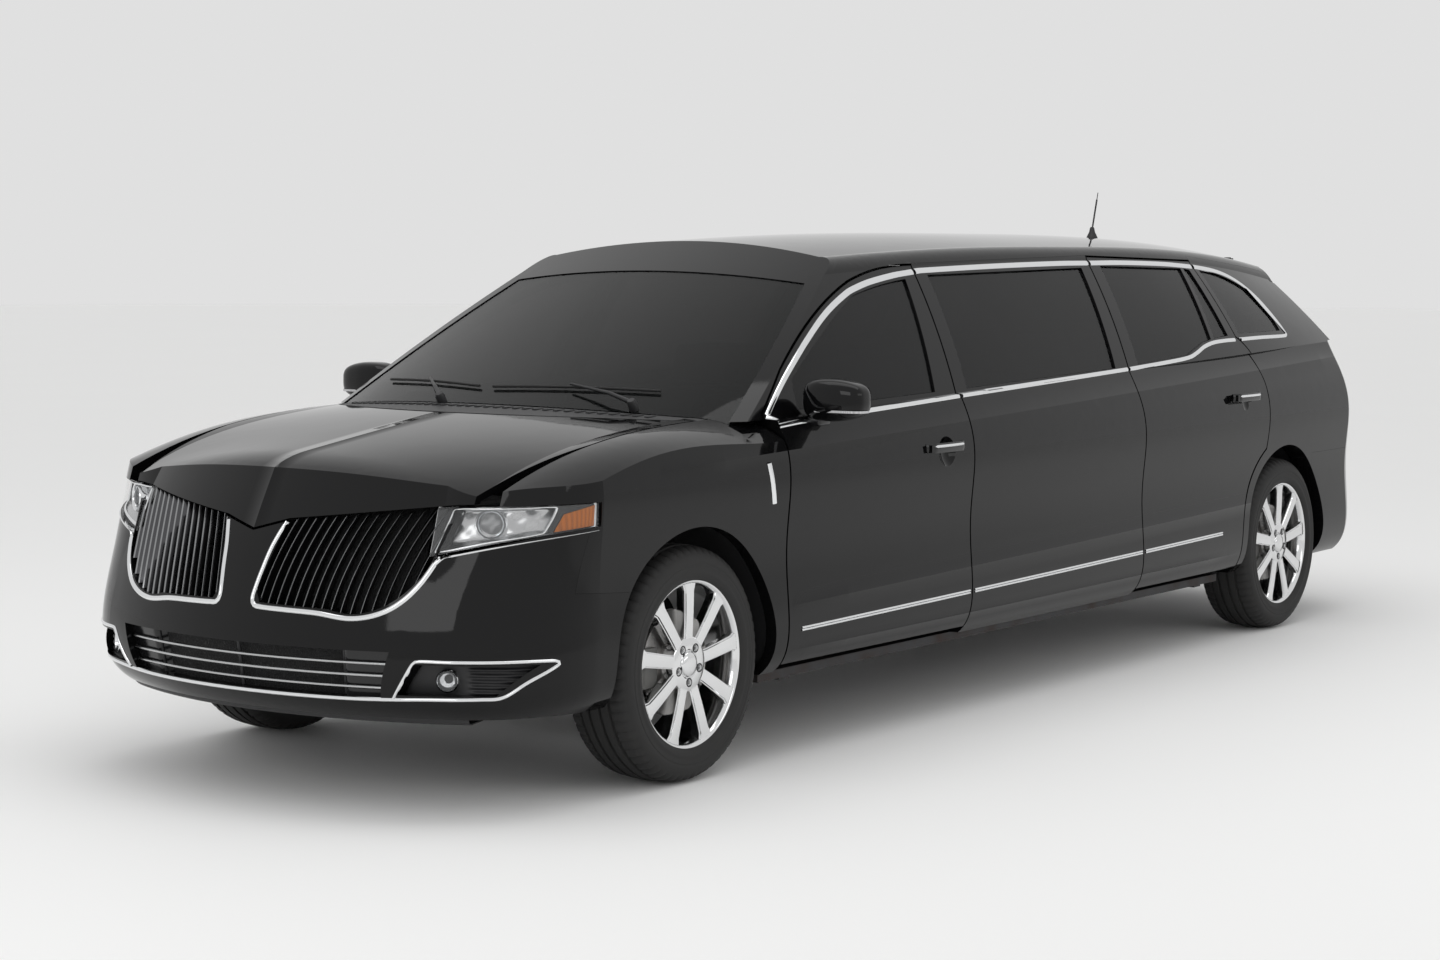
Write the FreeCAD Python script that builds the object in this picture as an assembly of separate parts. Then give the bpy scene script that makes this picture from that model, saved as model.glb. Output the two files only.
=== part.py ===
"""Stretch limousine: a long estate-bodied saloon with a fixed middle section let into each side.

Frame: +X towards the nose, +Y towards the driver's (left) side, +Z up, millimetres. The origin is on the
ground under the middle of the overall length. Places along the car are given as `behind`, the distance
behind the front axle, because that is how the panels are laid out; at() turns them into the frame.
"""
import FreeCAD
import Part

import math
import os
from collections import namedtuple

Vector = FreeCAD.Vector
Via = namedtuple("Via", "u v")  # a point that an arc passes through, between two corners of an outline

# ---------------------------------------------------------------- driving dimensions
STRETCH = 1372.0            # length let into the middle of the car
BASE_WHEELBASE = 2995.0
WHEELBASE = BASE_WHEELBASE + STRETCH
FRONT_OVERHANG = 1050.0
REAR_OVERHANG = 1218.0
LENGTH = FRONT_OVERHANG + WHEELBASE + REAR_OVERHANG
AXLE_X = LENGTH / 2 - FRONT_OVERHANG
NOSE = -FRONT_OVERHANG      # behind the front axle, as every station below is
TAIL = WHEELBASE + REAR_OVERHANG
HALF_WIDTH = 965.0          # body side at its widest
HALF_TRACK = HALF_WIDTH - 157.0

TYRE_RADIUS = 369.0
TYRE_WIDTH = 240.0
TYRE_WALL = 14.0
RIM_RADIUS = 254.0          # where the tyre's bead sits
RIM_FLANGE = 268.0
RIM_WALL = 9.0
SPOKES = 9
HUB_RADIUS = 74.0
HUB_BORE = 30.0
HUB_LENGTH = 70.0
SHAFT_FIT = 0.08            # radial clearance of a shaft in its bore

ARCH_RADIUS = 412.0
ARCH_RISE = 14.0            # the arch's centre above the wheel's
ARCH_FLARE = 58.0           # the band of panel left between the arch and the rear door
HOUSE_RADIUS = 424.0
HOUSE_WALL = 5.0
FRONT_HOUSE_INNER = HALF_TRACK - 338.0   # the wheelhouses' inboard walls
REAR_HOUSE_INNER = HALF_TRACK - 168.0

DOOR_WALL = 85.0
SKIN_WALL = 40.0
GLASS_SET_BACK = 8.0
GLASS_THICKNESS = 5.0
GAP = 8.0                   # between a moving panel and its neighbours
SEAM = 0.6                  # between two fixed panels
SEAT = 0.3                  # between a piece and what carries it

SILL_Z = 284.0
DOOR_BOTTOM = 310.0
FLOOR_Z = 248.0
FLOOR_THICKNESS = 30.0
CARGO_Z = 660.0
JACK_FRONT = 640.0          # the four pads that a garage jack lifts by
JACK_REAR = WHEELBASE - 640.0
JACK_Y = HALF_WIDTH - 165.0
JACK_HALF = 30.0
JACK_DROP = 12.0
BELT_AT_AXLE = 1086.0       # the belt line's height over the front axle
BELT_RISE = 0.0262          # and how it climbs to the rear

FRONT_DOOR = 485.0
FRONT_DOOR_REAR = 1630.0
REAR_DOOR = FRONT_DOOR_REAR + GAP + STRETCH - 35.0
DOOR_TAPER = 0.36           # how fast a door narrows inwards, along its length, so that it swings free
PLUG_OUTER = 1000.0         # the planes between which a door's volume runs
PLUG_INNER = 400.0
HINGE_SET_BACK = 95.0       # from a door's leading edge to its hinge line
HINGE_INSET = 17.0          # from the skin at hinge height to the hinge line
HINGE_HEIGHTS = (565.0, 880.0)
HINGE_PIN = 4.5
HINGE_EYE = 9.5
HINGE_LEAF = 34.0
HINGE_POCKET = 50.0
POST_INSET = 140.0          # from the hinge line in to the post's face
POST_SIZE = 60.0

HOOD_WALL = 22.0
HOOD_REAR = 230.0           # the bonnet's rear corners
HOOD_REAR_GAP = 16.0
HOOD_HALF_WIDTH = HALF_WIDTH - 213.0
HOOD_HINGE = HOOD_REAR - 10.0
HOOD_HINGE_Z = 1083.0
LID_PIN = 4.0               # the pins and eyes of the bonnet's and the tailgate's hinges
LID_EYE = 8.0
LID_HINGE_WIDTH = 30.0
HOOD_HINGE_Y = HOOD_HALF_WIDTH - 36.0
TAILGATE_HINGE_Y = 400.0
TAILGATE_EDGE = 41.0        # the tailgate's front edge is round about its hinge line
TAILGATE_HINGE = TAIL - 700.0
TAILGATE_HINGE_Z = 1585.0
TAILGATE_HALF = HALF_WIDTH - 365.0
TAILGATE_BOTTOM = 752.0
TAILGATE_WALL = 45.0
BUMPER_TOP_REAR = 744.0


def at(behind, y, z):
    """The point at a distance behind the front axle."""
    return Vector(AXLE_X - behind, y, z)


# ---------------------------------------------------------------- helpers
def wire(points, place):
    """A closed wire through corners, with an arc wherever a Via lies between two of them."""
    edges = []
    n = len(points)
    for i, p in enumerate(points):
        if isinstance(p, Via):
            continue
        q = points[(i + 1) % n]
        if isinstance(q, Via):
            r = points[(i + 2) % n]
            edges.append(Part.Arc(place(*p), place(*q), place(*r)).toShape())
        else:
            edges.append(Part.LineSegment(place(*p), place(*q)).toShape())
    return Part.Wire(edges)


def side_prism(points, y0, y1):
    """An outline in side view, (behind, z), pushed from y0 to y1."""
    return Part.Face(wire(points, lambda b, z: at(b, y0, z))).extrude(Vector(0, y1 - y0, 0))


def side_prism_grown(points, by, y0, y1):
    """side_prism of an outline that is grown all round first, or shrunk where by is negative."""
    face = Part.Face(wire(points, lambda b, z: at(b, y0, z)))
    grown = Part.Face(face.makeOffset2D(by, join=2).Wires[0])
    return grown.extrude(Vector(0, y1 - y0, 0))


def plan_prism(points, z0, z1):
    """An outline in plan, (behind, y), pushed from z0 to z1."""
    return Part.Face(wire(points, lambda b, y: at(b, y, z0))).extrude(Vector(0, 0, z1 - z0))


def end_prism(points, b0, b1):
    """An outline in front view, (y, z), pushed from b0 to b1."""
    return Part.Face(wire(points, lambda y, z: at(b0, y, z))).extrude(Vector(b0 - b1, 0, 0))


def box(b0, b1, y0, y1, z0, z1):
    """A box between two stations, two widths and two heights."""
    return Part.makeBox(b1 - b0, y1 - y0, z1 - z0, at(b1, y0, z0))


def rod(p, q, radius):
    """A round bar from p to q."""
    return Part.makeCylinder(radius, (q - p).Length, p, q - p)


def mirrored(shape):
    """The same piece on the other side of the car."""
    return shape.mirror(Vector(0, 0, 0), Vector(0, 1, 0))


def both(shape):
    """A left piece and its mirror image, as two solids of one node."""
    return Part.makeCompound([shape, mirrored(shape)])


def turned(profile, centre):
    """A profile of (radius, y) corners turned about the axis that runs through centre along Y."""
    face = Part.Face(wire(profile, lambda r, y: centre + Vector(r, y, 0)))
    return face.revolve(centre, Vector(0, 1, 0), 360)


# ---------------------------------------------------------------- the body's outer form
# Horizontal sections of the body below the windows: how far in from the plan outline each one lies.
BODY_LEVELS = (
    # z, nose, side, tail
    (SILL_Z, 70.0, 62.0, 60.0),
    (345.0, 12.0, 16.0, 25.0),
    (565.0, 0.0, 8.0, 0.0),
    (820.0, 95.0, 2.0, 20.0),
    (1000.0, 190.0, 8.0, 45.0),
    (1090.0, 240.0, 40.0, 65.0),
    (1265.0, 330.0, 122.0, 110.0),
)
# The plan outline, from the nose's middle round to the tail's. out_b and out_y point out of it.
PLAN = (
    # behind, y, out_b, out_y, share of nose, side, tail
    (NOSE, 0.0, -1.0, 0.0, 1.0, 0.0, 0.0),
    (NOSE + 140.0, HALF_WIDTH - 310.0, -0.91, 0.41, 1.0, 0.0, 0.0),
    (NOSE + 300.0, HALF_WIDTH - 115.0, -0.56, 0.83, 0.5, 0.5, 0.0),
    (NOSE + 570.0, HALF_WIDTH - 25.0, -0.03, 1.0, 0.0, 1.0, 0.0),
    (WHEELBASE / 2, HALF_WIDTH, 0.0, 1.0, 0.0, 1.0, 0.0),
    (TAIL - 545.0, HALF_WIDTH - 35.0, 0.03, 1.0, 0.0, 1.0, 0.0),
    (TAIL - 345.0, HALF_WIDTH - 129.0, 0.50, 0.87, 0.0, 0.5, 0.5),
    (TAIL - 200.0, HALF_WIDTH - 275.0, 0.88, 0.48, 0.0, 0.0, 1.0),
    (TAIL, 0.0, 1.0, 0.0, 0.0, 0.0, 1.0),
)


def body_section(z, nose, side, tail, wall):
    """The closed plan section at one height, set in by a wall."""
    half = []
    for b, y, out_b, out_y, n, s, t in PLAN:
        inward = n * nose + s * side + t * tail + wall
        half.append((b - out_b * inward, y - out_y * inward))
    n0, n1, m1, s0, s1, s2, m2, t1, t0 = half
    arcs = [(s0, m1, n1), (s2, s1, s0), (t1, m2, s2)]
    left = [Part.Arc(*(at(b, y, z) for b, y in arc)).toShape() for arc in arcs]
    right = [Part.Arc(*(at(b, -y, z) for b, y in reversed(arc))).toShape() for arc in arcs]
    nose_arc = Part.Arc(at(n1[0], n1[1], z), at(*n0, z), at(n1[0], -n1[1], z)).toShape()
    tail_arc = Part.Arc(at(t1[0], -t1[1], z), at(*t0, z), at(t1[0], t1[1], z)).toShape()
    return Part.Wire([left[2], left[1], left[0], nose_arc, right[0], right[1], right[2], tail_arc])


def lower_body(wall):
    """The body below the windows, set in by a wall."""
    return Part.makeLoft([body_section(*level, wall) for level in BODY_LEVELS], True, False)


def belt_height(behind):
    """The belt line's height at a station."""
    return BELT_AT_AXLE + BELT_RISE * behind


def side_width(behind):
    """The plan outline's half width along the side."""
    front_b, front_y = PLAN[3][:2]
    middle_b, middle_y = PLAN[4][:2]
    return middle_y - (middle_y - front_y) * ((behind - middle_b) / (front_b - middle_b)) ** 2


# Cross sections of the cabin above the belt line. Widths are how far in from HALF_WIDTH each one lies.
CABIN_SECTIONS = (
    # behind, belt in, belt z, glass top in, glass top z, rail in, rail z, crown z
    (-80.0, 89.0, 1030.0, 333.0, 1520.0, 413.0, 1580.0, 1630.0),
    (1000.0, 65.0, 1062.0, 310.0, 1545.0, 390.0, 1600.0, 1652.0),
    (FRONT_DOOR_REAR + 70.0, 60.0, 1090.0, 305.0, 1575.0, 385.0, 1630.0, 1682.0),
    (REAR_DOOR, 60.0, 1110.0, 303.0, 1592.0, 380.0, 1645.0, 1696.0),
    (WHEELBASE - 367.0, 70.0, 1140.0, 313.0, 1572.0, 395.0, 1627.0, 1684.0),
    (WHEELBASE + 333.0, 98.0, 1150.0, 350.0, 1515.0, 425.0, 1577.0, 1642.0),
    (WHEELBASE + 1033.0, 165.0, 1150.0, 405.0, 1430.0, 480.0, 1480.0, 1540.0),
)
GLASS_BARREL = 17.0         # how far the side glass bows out of a flat


def cabin_section(behind, belt_in, belt_z, top_in, top_z, rail_in, rail_z, crown_z, wall):
    """The closed cross section of the cabin at one station, set in by a wall."""
    belt_y, top_y, rail_y = (HALF_WIDTH - inset for inset in (belt_in, top_in, rail_in))
    belt = (belt_y - 1.1 * wall, belt_z)
    glass = ((belt_y + top_y) / 2 + GLASS_BARREL - 1.1 * wall, (belt_z + top_z) / 2)
    top = (top_y - 1.1 * wall, top_z - 0.2 * wall)
    bend = ((top_y + rail_y) / 2 + 12 - 0.85 * wall, (top_z + rail_z) / 2 + 12 - 0.7 * wall)
    rail = (rail_y - 0.4 * wall, rail_z - wall)
    left = [belt, Via(*glass), top, Via(*bend), rail]
    right = [type(p)(-p[0], p[1]) if isinstance(p, Via) else (-p[0], p[1]) for p in reversed(left)]
    points = left + [Via(0.0, crown_z - wall)] + right
    return wire(points, lambda y, z: at(behind, y, z))


def cabin(wall):
    """The whole cabin above the belt line, set in by a wall."""
    return Part.makeLoft([cabin_section(*row, wall) for row in CABIN_SECTIONS], True, False)


# The windscreen and the tailgate's window, each a ruled face between a low and a high arc.
Slope = namedtuple("Slope", "low_z low_mid low_end high_z high_mid high_end")
SLOPE_HALF = 1000.0         # where the arcs' ends lie
SCREEN = Slope(1085.0, 20.0, 489.0, 1640.0, 1200.0, 1466.0)
BACK_WINDOW = Slope(1150.0, TAIL - 85.0, TAIL - 520.0, 1660.0, TAIL - 740.0, TAIL - 1175.0)


# The roof's header above the windscreen: its lower edge in front view.
HEADER_HALF = 700.0
HEADER_END_Z = 1512.0
HEADER_MIDDLE_Z = 1560.0


def slope_volume(slope, shift, far):
    """Everything between a slope, moved back by shift, and a far station."""
    wires = []
    rise = slope.high_z - slope.low_z
    for blend in (-0.2, 1.2):
        z = slope.low_z + rise * blend
        mid = slope.low_mid + (slope.high_mid - slope.low_mid) * blend + shift
        end = slope.low_end + (slope.high_end - slope.low_end) * blend + shift
        wires.append(wire([(end, SLOPE_HALF), Via(mid, 0.0), (end, -SLOPE_HALF), (far, -SLOPE_HALF),
                           (far, SLOPE_HALF)], lambda b, w, z=z: at(b, w, z)))
    return Part.makeLoft(wires, True, True)


def header_volume(drop):
    """Everything above the header's lower edge, which is lowered by drop."""
    low = HEADER_END_Z - drop
    return end_prism([(-HEADER_HALF, low), Via(0.0, HEADER_MIDDLE_Z - drop), (HEADER_HALF, low),
                      (HEADER_HALF, 1800.0), (-HEADER_HALF, 1800.0)], NOSE, 2000.0)


# The top of the nose: the bonnet's and the front wings' upper face.
TOP_SECTIONS = (
    # behind, middle z, z at 700, z at 950
    (NOSE - 40.0, 760.0, 600.0, 500.0),
    (NOSE + 80.0, 905.0, 780.0, 700.0),
    (NOSE + 165.0, 978.0, 855.0, 800.0),
    (NOSE + 350.0, 1034.0, 950.0, 885.0),
    (NOSE + 700.0, 1082.0, 1046.0, 975.0),
    (30.0, 1124.0, 1092.0, 1010.0),
    (620.0, 1155.0, 1116.0, 1025.0),
)


def nose_top(drop):
    """Everything under the bonnet's and wings' upper face, which is lowered by drop."""
    wires = []
    for behind, middle, shoulder, edge in TOP_SECTIONS:
        bend_z = (edge + shoulder) / 2 + 22 - drop
        points = [(980.0, 100.0), (980.0, edge - drop), Via(850.0, bend_z), (700.0, shoulder - drop),
                  Via(0.0, middle - drop),
                  (-700.0, shoulder - drop), Via(-850.0, bend_z), (-980.0, edge - drop), (-980.0, 100.0)]
        wires.append(wire(points, lambda y, z, b=behind: at(b, y, z)))
    return Part.makeLoft(wires, True, False)


# ---------------------------------------------------------------- outlines of the openings and panels
ARCH_Z = TYRE_RADIUS + ARCH_RISE
FAR = 1200.0                # beyond the body on every side


def arch_point(angle, radius):
    """A point on a circle about the rear arch's centre, by its angle up from the forward direction."""
    a = math.radians(angle)
    return (WHEELBASE - radius * math.cos(a), ARCH_Z + radius * math.sin(a))


FRONT_DOOR_OUTLINE = [
    (FRONT_DOOR, DOOR_BOTTOM),
    (FRONT_DOOR, 1010.0),
    (FRONT_DOOR - 25.0, 1112.0),
    (640.0, 1245.0),
    Via(940.0, 1408.0),
    (1250.0, 1523.0),
    Via(1440.0, 1560.0),
    (FRONT_DOOR_REAR + 66.0, 1578.0),
    (FRONT_DOOR_REAR, 1140.0),
    (FRONT_DOOR_REAR, DOOR_BOTTOM),
]
REAR_BAND = ARCH_RADIUS + ARCH_FLARE
REAR_DOOR_OUTLINE = [
    (REAR_DOOR, DOOR_BOTTOM),
    (REAR_DOOR, 1150.0),
    (REAR_DOOR + 60.0, 1602.0),
    (WHEELBASE - 399.0, 1580.0),
    (WHEELBASE - 327.0, 1262.0),
    Via(WHEELBASE - 222.0, 1165.0),
    (WHEELBASE - 202.0, 1030.0),
    arch_point(61.0, REAR_BAND),
    Via(*arch_point(24.0, REAR_BAND)),
    (WHEELBASE - math.sqrt(REAR_BAND ** 2 - (ARCH_Z - DOOR_BOTTOM) ** 2), DOOR_BOTTOM),
]
FRONT_WINDOW = [
    (655.0, 1120.0),
    (1502.0, 1142.0),
    (1618.0, 1532.0),
    Via(1430.0, 1512.0),
    (1230.0, 1478.0),
    Via(940.0, 1350.0),
    (680.0, 1215.0),
]
CENTRE_FRONT = FRONT_DOOR_REAR + GAP
CENTRE_REAR = REAR_DOOR - GAP
CENTRE_WINDOW = [
    (CENTRE_FRONT + 80.0, 1146.0),
    (CENTRE_REAR - 98.0, 1176.0),
    (CENTRE_REAR - 18.0, 1562.0),
    (CENTRE_FRONT + 138.0, 1545.0),
]
REAR_WINDOW = [
    (REAR_DOOR + 87.0, 1184.0),
    (REAR_DOOR + 545.0, 1205.0),
    (REAR_DOOR + 725.0, 1250.0),
    (REAR_DOOR + 815.0, 1262.0),
    (REAR_DOOR + 863.0, 1553.0),
    (REAR_DOOR + 137.0, 1568.0),
]
QUARTER_LIGHT = [
    (REAR_DOOR + 847.0, 1264.0),
    (REAR_DOOR + 995.0, 1272.0),
    (REAR_DOOR + 948.0, 1546.0),
    (REAR_DOOR + 893.0, 1552.0),
]
QUARTER_WINDOW = [
    (WHEELBASE - 279.0, 1278.0),
    (WHEELBASE + 198.0, 1278.0),
    Via(WHEELBASE + 163.0, 1392.0),
    (WHEELBASE + 58.0, 1468.0),
    Via(WHEELBASE - 117.0, 1518.0),
    (WHEELBASE - 341.0, 1543.0),
]
# The nose's openings in front view, (y, z), on the left side.
GRILLE = [(75.0, 640.0), (95.0, 606.0), (340.0, 600.0), Via(530.0, 630.0), (612.0, 745.0),
          (640.0, 930.0), (145.0, 930.0)]
HEADLAMP = [(617.0, 750.0), (960.0, 842.0), (960.0, 908.0), (644.0, 899.0)]
LOWER_GRILLE_HALF = 500.0
LOWER_GRILLE = [(-LOWER_GRILLE_HALF, 350.0), (LOWER_GRILLE_HALF, 350.0),
                (LOWER_GRILLE_HALF + 40.0, 488.0), (-LOWER_GRILLE_HALF - 40.0, 488.0)]
FOG_POD = [(548.0, 362.0), (800.0, 362.0), (885.0, 450.0), (612.0, 455.0)]


def hood_volume(grow):
    """The volume that the bonnet is cut with, grown by a gap at its edges."""
    line = [(650.0, 905.0 - grow), (125.0, 848.0 - grow), (0.0, 815.0 - grow)]
    front = [(980.0, 915.0 - grow)] + line + [(-y, z) for y, z in reversed(line[:-1])]
    front += [(-980.0, 915.0 - grow), (-980.0, 1400.0), (980.0, 1400.0)]
    rear = grow / GAP * HOOD_REAR_GAP
    left = [(NOSE - 60.0, 660.0 + grow), (-760.0, 690.0 + grow), (-300.0, HOOD_HALF_WIDTH + grow),
            (HOOD_REAR + rear, HOOD_HALF_WIDTH + grow)]
    plan = left + [Via(-80.0 + rear, 0.0)] + [(b, -y) for b, y in reversed(left)]
    return plan_prism(plan, 700.0, 1400.0).common(end_prism(front, NOSE - 60.0, 700.0))


BUMPER_SIDE = [(NOSE - 60.0, 200.0), (-250.0, 200.0), (-250.0, 620.0), (-580.0, 645.0), (-520.0, 850.0),
               (NOSE - 60.0, 850.0)]

# ---------------------------------------------------------------- solids that the panels are cut from
LEFT = box(NOSE - 200.0, TAIL + 200.0, 0.0, FAR, 0.0, 2000.0)
LOWER = lower_body(0.0)
NOSE_OUTER = LOWER.common(nose_top(0.0))


def nose_shell(wall):
    """The nose's skin: sides, front and top, open below and behind."""
    return NOSE_OUTER.cut(lower_body(wall).common(nose_top(wall)))


NOSE_SKIN = nose_shell(SKIN_WALL)
BELOW_BELT = side_prism([(NOSE - 100.0, 100.0), (TAIL + 100.0, 100.0),
                         (TAIL + 100.0, belt_height(TAIL + 100.0)),
                         (NOSE - 100.0, belt_height(NOSE - 100.0))], -FAR, FAR)
SIDE_SKIN = LOWER.cut(lower_body(DOOR_WALL)).common(BELOW_BELT)
CABIN = cabin(0.0)
CABIN_SIDES = CABIN.cut(cabin(SKIN_WALL))
CABIN_SIDES = CABIN_SIDES.common(slope_volume(SCREEN, 0.0, TAIL + 800.0))
CABIN_SIDES = CABIN_SIDES.common(slope_volume(BACK_WINDOW, 0.0, NOSE - 500.0)).cut(BELOW_BELT)
BACK_WALL = slope_volume(BACK_WINDOW, 0.0, NOSE - 500.0)
BACK_WALL = BACK_WALL.cut(slope_volume(BACK_WINDOW, -TAILGATE_WALL, NOSE - 600.0))
BACK_WALL = CABIN.common(BACK_WALL).cut(BELOW_BELT)
CABIN_SKIN = CABIN_SIDES.fuse(BACK_WALL)
SIDE_GLASS = cabin(GLASS_SET_BACK).cut(cabin(GLASS_SET_BACK + GLASS_THICKNESS)).common(LEFT)

parts = {}


def keep(name, shape):
    """Files a shape under its node's name."""
    parts[name] = shape


# ---------------------------------------------------------------- panels
def between(rows, key):
    """The rows either side of a key, first column, and how far it lies from the first to the second."""
    for low, high in zip(rows, rows[1:]):
        if key <= high[0] or high is rows[-1]:
            return low, high, (key - low[0]) / (high[0] - low[0])


def skin_y(behind, z):
    """The half width of the body's side at a station and height."""
    low, high, share = between(CABIN_SECTIONS, behind)
    _, belt_in, belt_z, top_in, top_z, _, _, _ = [p + (q - p) * share for p, q in zip(low, high)]
    if z > belt_z:
        return HALF_WIDTH - belt_in - (top_in - belt_in) * (z - belt_z) / (top_z - belt_z)
    low, high, share = between(BODY_LEVELS, z)
    return side_width(behind) - low[2] - (high[2] - low[2]) * share


def door_plug(outline, hinge):
    """The volume that a door is cut with: its outline on the skin, drawn in towards the hinge inside."""
    def placed(b, z, y):
        """An outline's point, moved from the skin to a plane along the door's slanting edge."""
        reach = FRONT_DOOR_REAR - FRONT_DOOR
        on_skin = 1.0 - DOOR_TAPER * (PLUG_OUTER - skin_y(b, z)) / reach
        on_plane = 1.0 - DOOR_TAPER * (PLUG_OUTER - y) / reach
        return at(hinge + (b - hinge) * on_plane / on_skin, y, z)

    return Part.makeLoft([wire(outline, lambda b, z, y=y: placed(b, z, y)) for y in (PLUG_OUTER, PLUG_INNER)],
                         True, True)


def panel(*prisms):
    """What the body side's and the cabin's skin have inside some prisms, as one solid."""
    lower = SIDE_SKIN
    upper = CABIN_SKIN
    for prism in prisms:
        lower = lower.common(prism)
        upper = upper.common(prism)
    return lower.fuse(upper)


def hinge_line(door_front):
    """A door's hinge line: its station and its half width."""
    station = door_front + HINGE_SET_BACK
    return station, side_width(station) - BODY_LEVELS[2][2] - HINGE_INSET


def hinge_pocket(door_front, height):
    """The room in a door for the body's leaf, open inwards and at the leading edge."""
    station, y = hinge_line(door_front)
    reach = HINGE_EYE + 2.0
    half = HINGE_POCKET / 2
    pocket = box(door_front - 10.0, station + reach, y - 300.0, y + reach, height - half, height + half)
    end = half + 14.0
    bore = rod(at(station, y, height - end), at(station, y, height + end), HINGE_PIN + SHAFT_FIT)
    return pocket.fuse(bore)


def hinge_post(door_front):
    """A pillar with two leaves and their pins, which carries a door."""
    station, y = hinge_line(door_front)
    post_y = y - POST_INSET - POST_SIZE
    post = box(station - POST_SIZE / 2, station + POST_SIZE / 2, post_y, post_y + POST_SIZE,
               FLOOR_Z + FLOOR_THICKNESS, 1000.0)
    for height in HINGE_HEIGHTS:
        half = HINGE_LEAF / 2
        pin_half = HINGE_POCKET / 2 + 12.0
        leaf = box(station - 7.0, station + 7.0, post_y + POST_SIZE, y, height - half, height + half)
        eye = rod(at(station, y, height - half), at(station, y, height + half), HINGE_EYE)
        pin = rod(at(station, y, height - pin_half), at(station, y, height + pin_half), HINGE_PIN)
        post = post.fuse(leaf).fuse(eye).fuse(pin)
    return post


def handle(station, height):
    """A grip across a round recess: returns the recess to cut and the grip to add."""
    y = side_width(station)
    recess = Part.makeSphere(90.0, at(station + 10.0, y + 72.0, height))
    bar = box(station - 118.0, station + 118.0, y - 12.0, y + 18.0, height - 4.0, height + 22.0)
    bar = bar.cut(box(station - 90.0, station + 90.0, y - 40.0, y + 8.0, height - 10.0, height + 30.0))
    return recess, bar


def window_glass(outline):
    """The pane that fills a window of the cabin's side."""
    return SIDE_GLASS.common(side_prism_grown(outline, -SEAT, 0.0, FAR))


def door(outline, door_front, windows, grip):
    """A left door, solid through its whole thickness, with its windows, hinge pockets and grip."""
    station, _ = hinge_line(door_front)
    leaf = panel(LEFT, door_plug(outline, station), side_prism(outline, 0.0, FAR))
    for window in windows:
        leaf = leaf.cut(side_prism(window, 0.0, FAR))
    for height in HINGE_HEIGHTS:
        leaf = leaf.cut(hinge_pocket(door_front, height))
    recess, bar = handle(*grip)
    return leaf.cut(recess).fuse(bar)


front_door = door(FRONT_DOOR_OUTLINE, FRONT_DOOR, [FRONT_WINDOW], (FRONT_DOOR_REAR - 193.0, 948.0))
rear_door = door(REAR_DOOR_OUTLINE, REAR_DOOR, [REAR_WINDOW, QUARTER_LIGHT], (WHEELBASE - 460.0, 1012.0))
front_glass = window_glass(FRONT_WINDOW)
rear_glass = Part.makeCompound([window_glass(REAR_WINDOW), window_glass(QUARTER_LIGHT)])

front_door_hole = side_prism_grown(FRONT_DOOR_OUTLINE, GAP, 0.0, FAR)
rear_door_hole = side_prism_grown(REAR_DOOR_OUTLINE, GAP, 0.0, FAR)
CENTRE_OUTLINE = [(CENTRE_FRONT, SILL_Z - 50.0), (CENTRE_FRONT, 1138.0), (CENTRE_FRONT + 68.0, 1586.0),
                  (CENTRE_REAR + 58.0, 1610.0), (CENTRE_REAR, 1152.0), (CENTRE_REAR, SILL_Z - 50.0)]
centre_zone = side_prism(CENTRE_OUTLINE, 0.0, FAR)
arch_front = rod(at(0.0, 400.0, ARCH_Z), at(0.0, FAR, ARCH_Z), ARCH_RADIUS)
arch_rear = rod(at(WHEELBASE, 400.0, ARCH_Z), at(WHEELBASE, FAR, ARCH_Z), ARCH_RADIUS)

centre_side = panel(LEFT, centre_zone).cut(side_prism(CENTRE_WINDOW, 0.0, FAR))
keep("centre_side_panels", both(centre_side))

rear_bumper_zone = box(WHEELBASE + 285.0, TAIL + 50.0, -FAR, FAR, SILL_Z - 10.0, BUMPER_TOP_REAR)
rear_bumper = SIDE_SKIN.common(rear_bumper_zone).cut(arch_rear).cut(mirrored(arch_rear))
keep("rear_bumper", rear_bumper)


def tailgate_volume(grow, bottom):
    """The volume that the tailgate is cut with, its front edge round about the hinge line."""
    half = TAILGATE_HALF + grow
    edge = rod(at(TAILGATE_HINGE, -half, TAILGATE_HINGE_Z), at(TAILGATE_HINGE, half, TAILGATE_HINGE_Z),
               TAILGATE_EDGE + 0.75 * grow)
    return box(TAILGATE_HINGE, TAIL + 60.0, -half, half, bottom, 1800.0).fuse(edge)


tailgate_hole = tailgate_volume(GAP, BUMPER_TOP_REAR + SEAM)
QUARTER_OUTLINE = [(WHEELBASE - 480.0, SILL_Z - 10.0), (WHEELBASE - 480.0, 1100.0),
                   (WHEELBASE - 396.0, 1100.0), (WHEELBASE - 396.0, 1604.0), (WHEELBASE + 333.0, 1546.0),
                   (TAIL + 50.0, 1440.0), (TAIL + 50.0, SILL_Z - 10.0)]
quarter_zone = side_prism(QUARTER_OUTLINE, 0.0, FAR)
quarter = panel(LEFT, quarter_zone).cut(rear_door_hole).cut(arch_rear).cut(tailgate_hole)
quarter = quarter.cut(box(WHEELBASE + 285.0 - SEAM, TAIL + 50.0, 0.0, FAR, 0.0, BUMPER_TOP_REAR + SEAM))
quarter = quarter.cut(side_prism(QUARTER_WINDOW, 0.0, FAR))
tail_lamp_zone = box(TAIL - 290.0, TAIL + 50.0, TAILGATE_HALF + GAP, FAR, 985.0, 1085.0)
tail_lamp = LOWER.cut(lower_body(50.0)).common(tail_lamp_zone)
quarter = quarter.cut(tail_lamp)
keep("quarter_panels", both(quarter))

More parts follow.
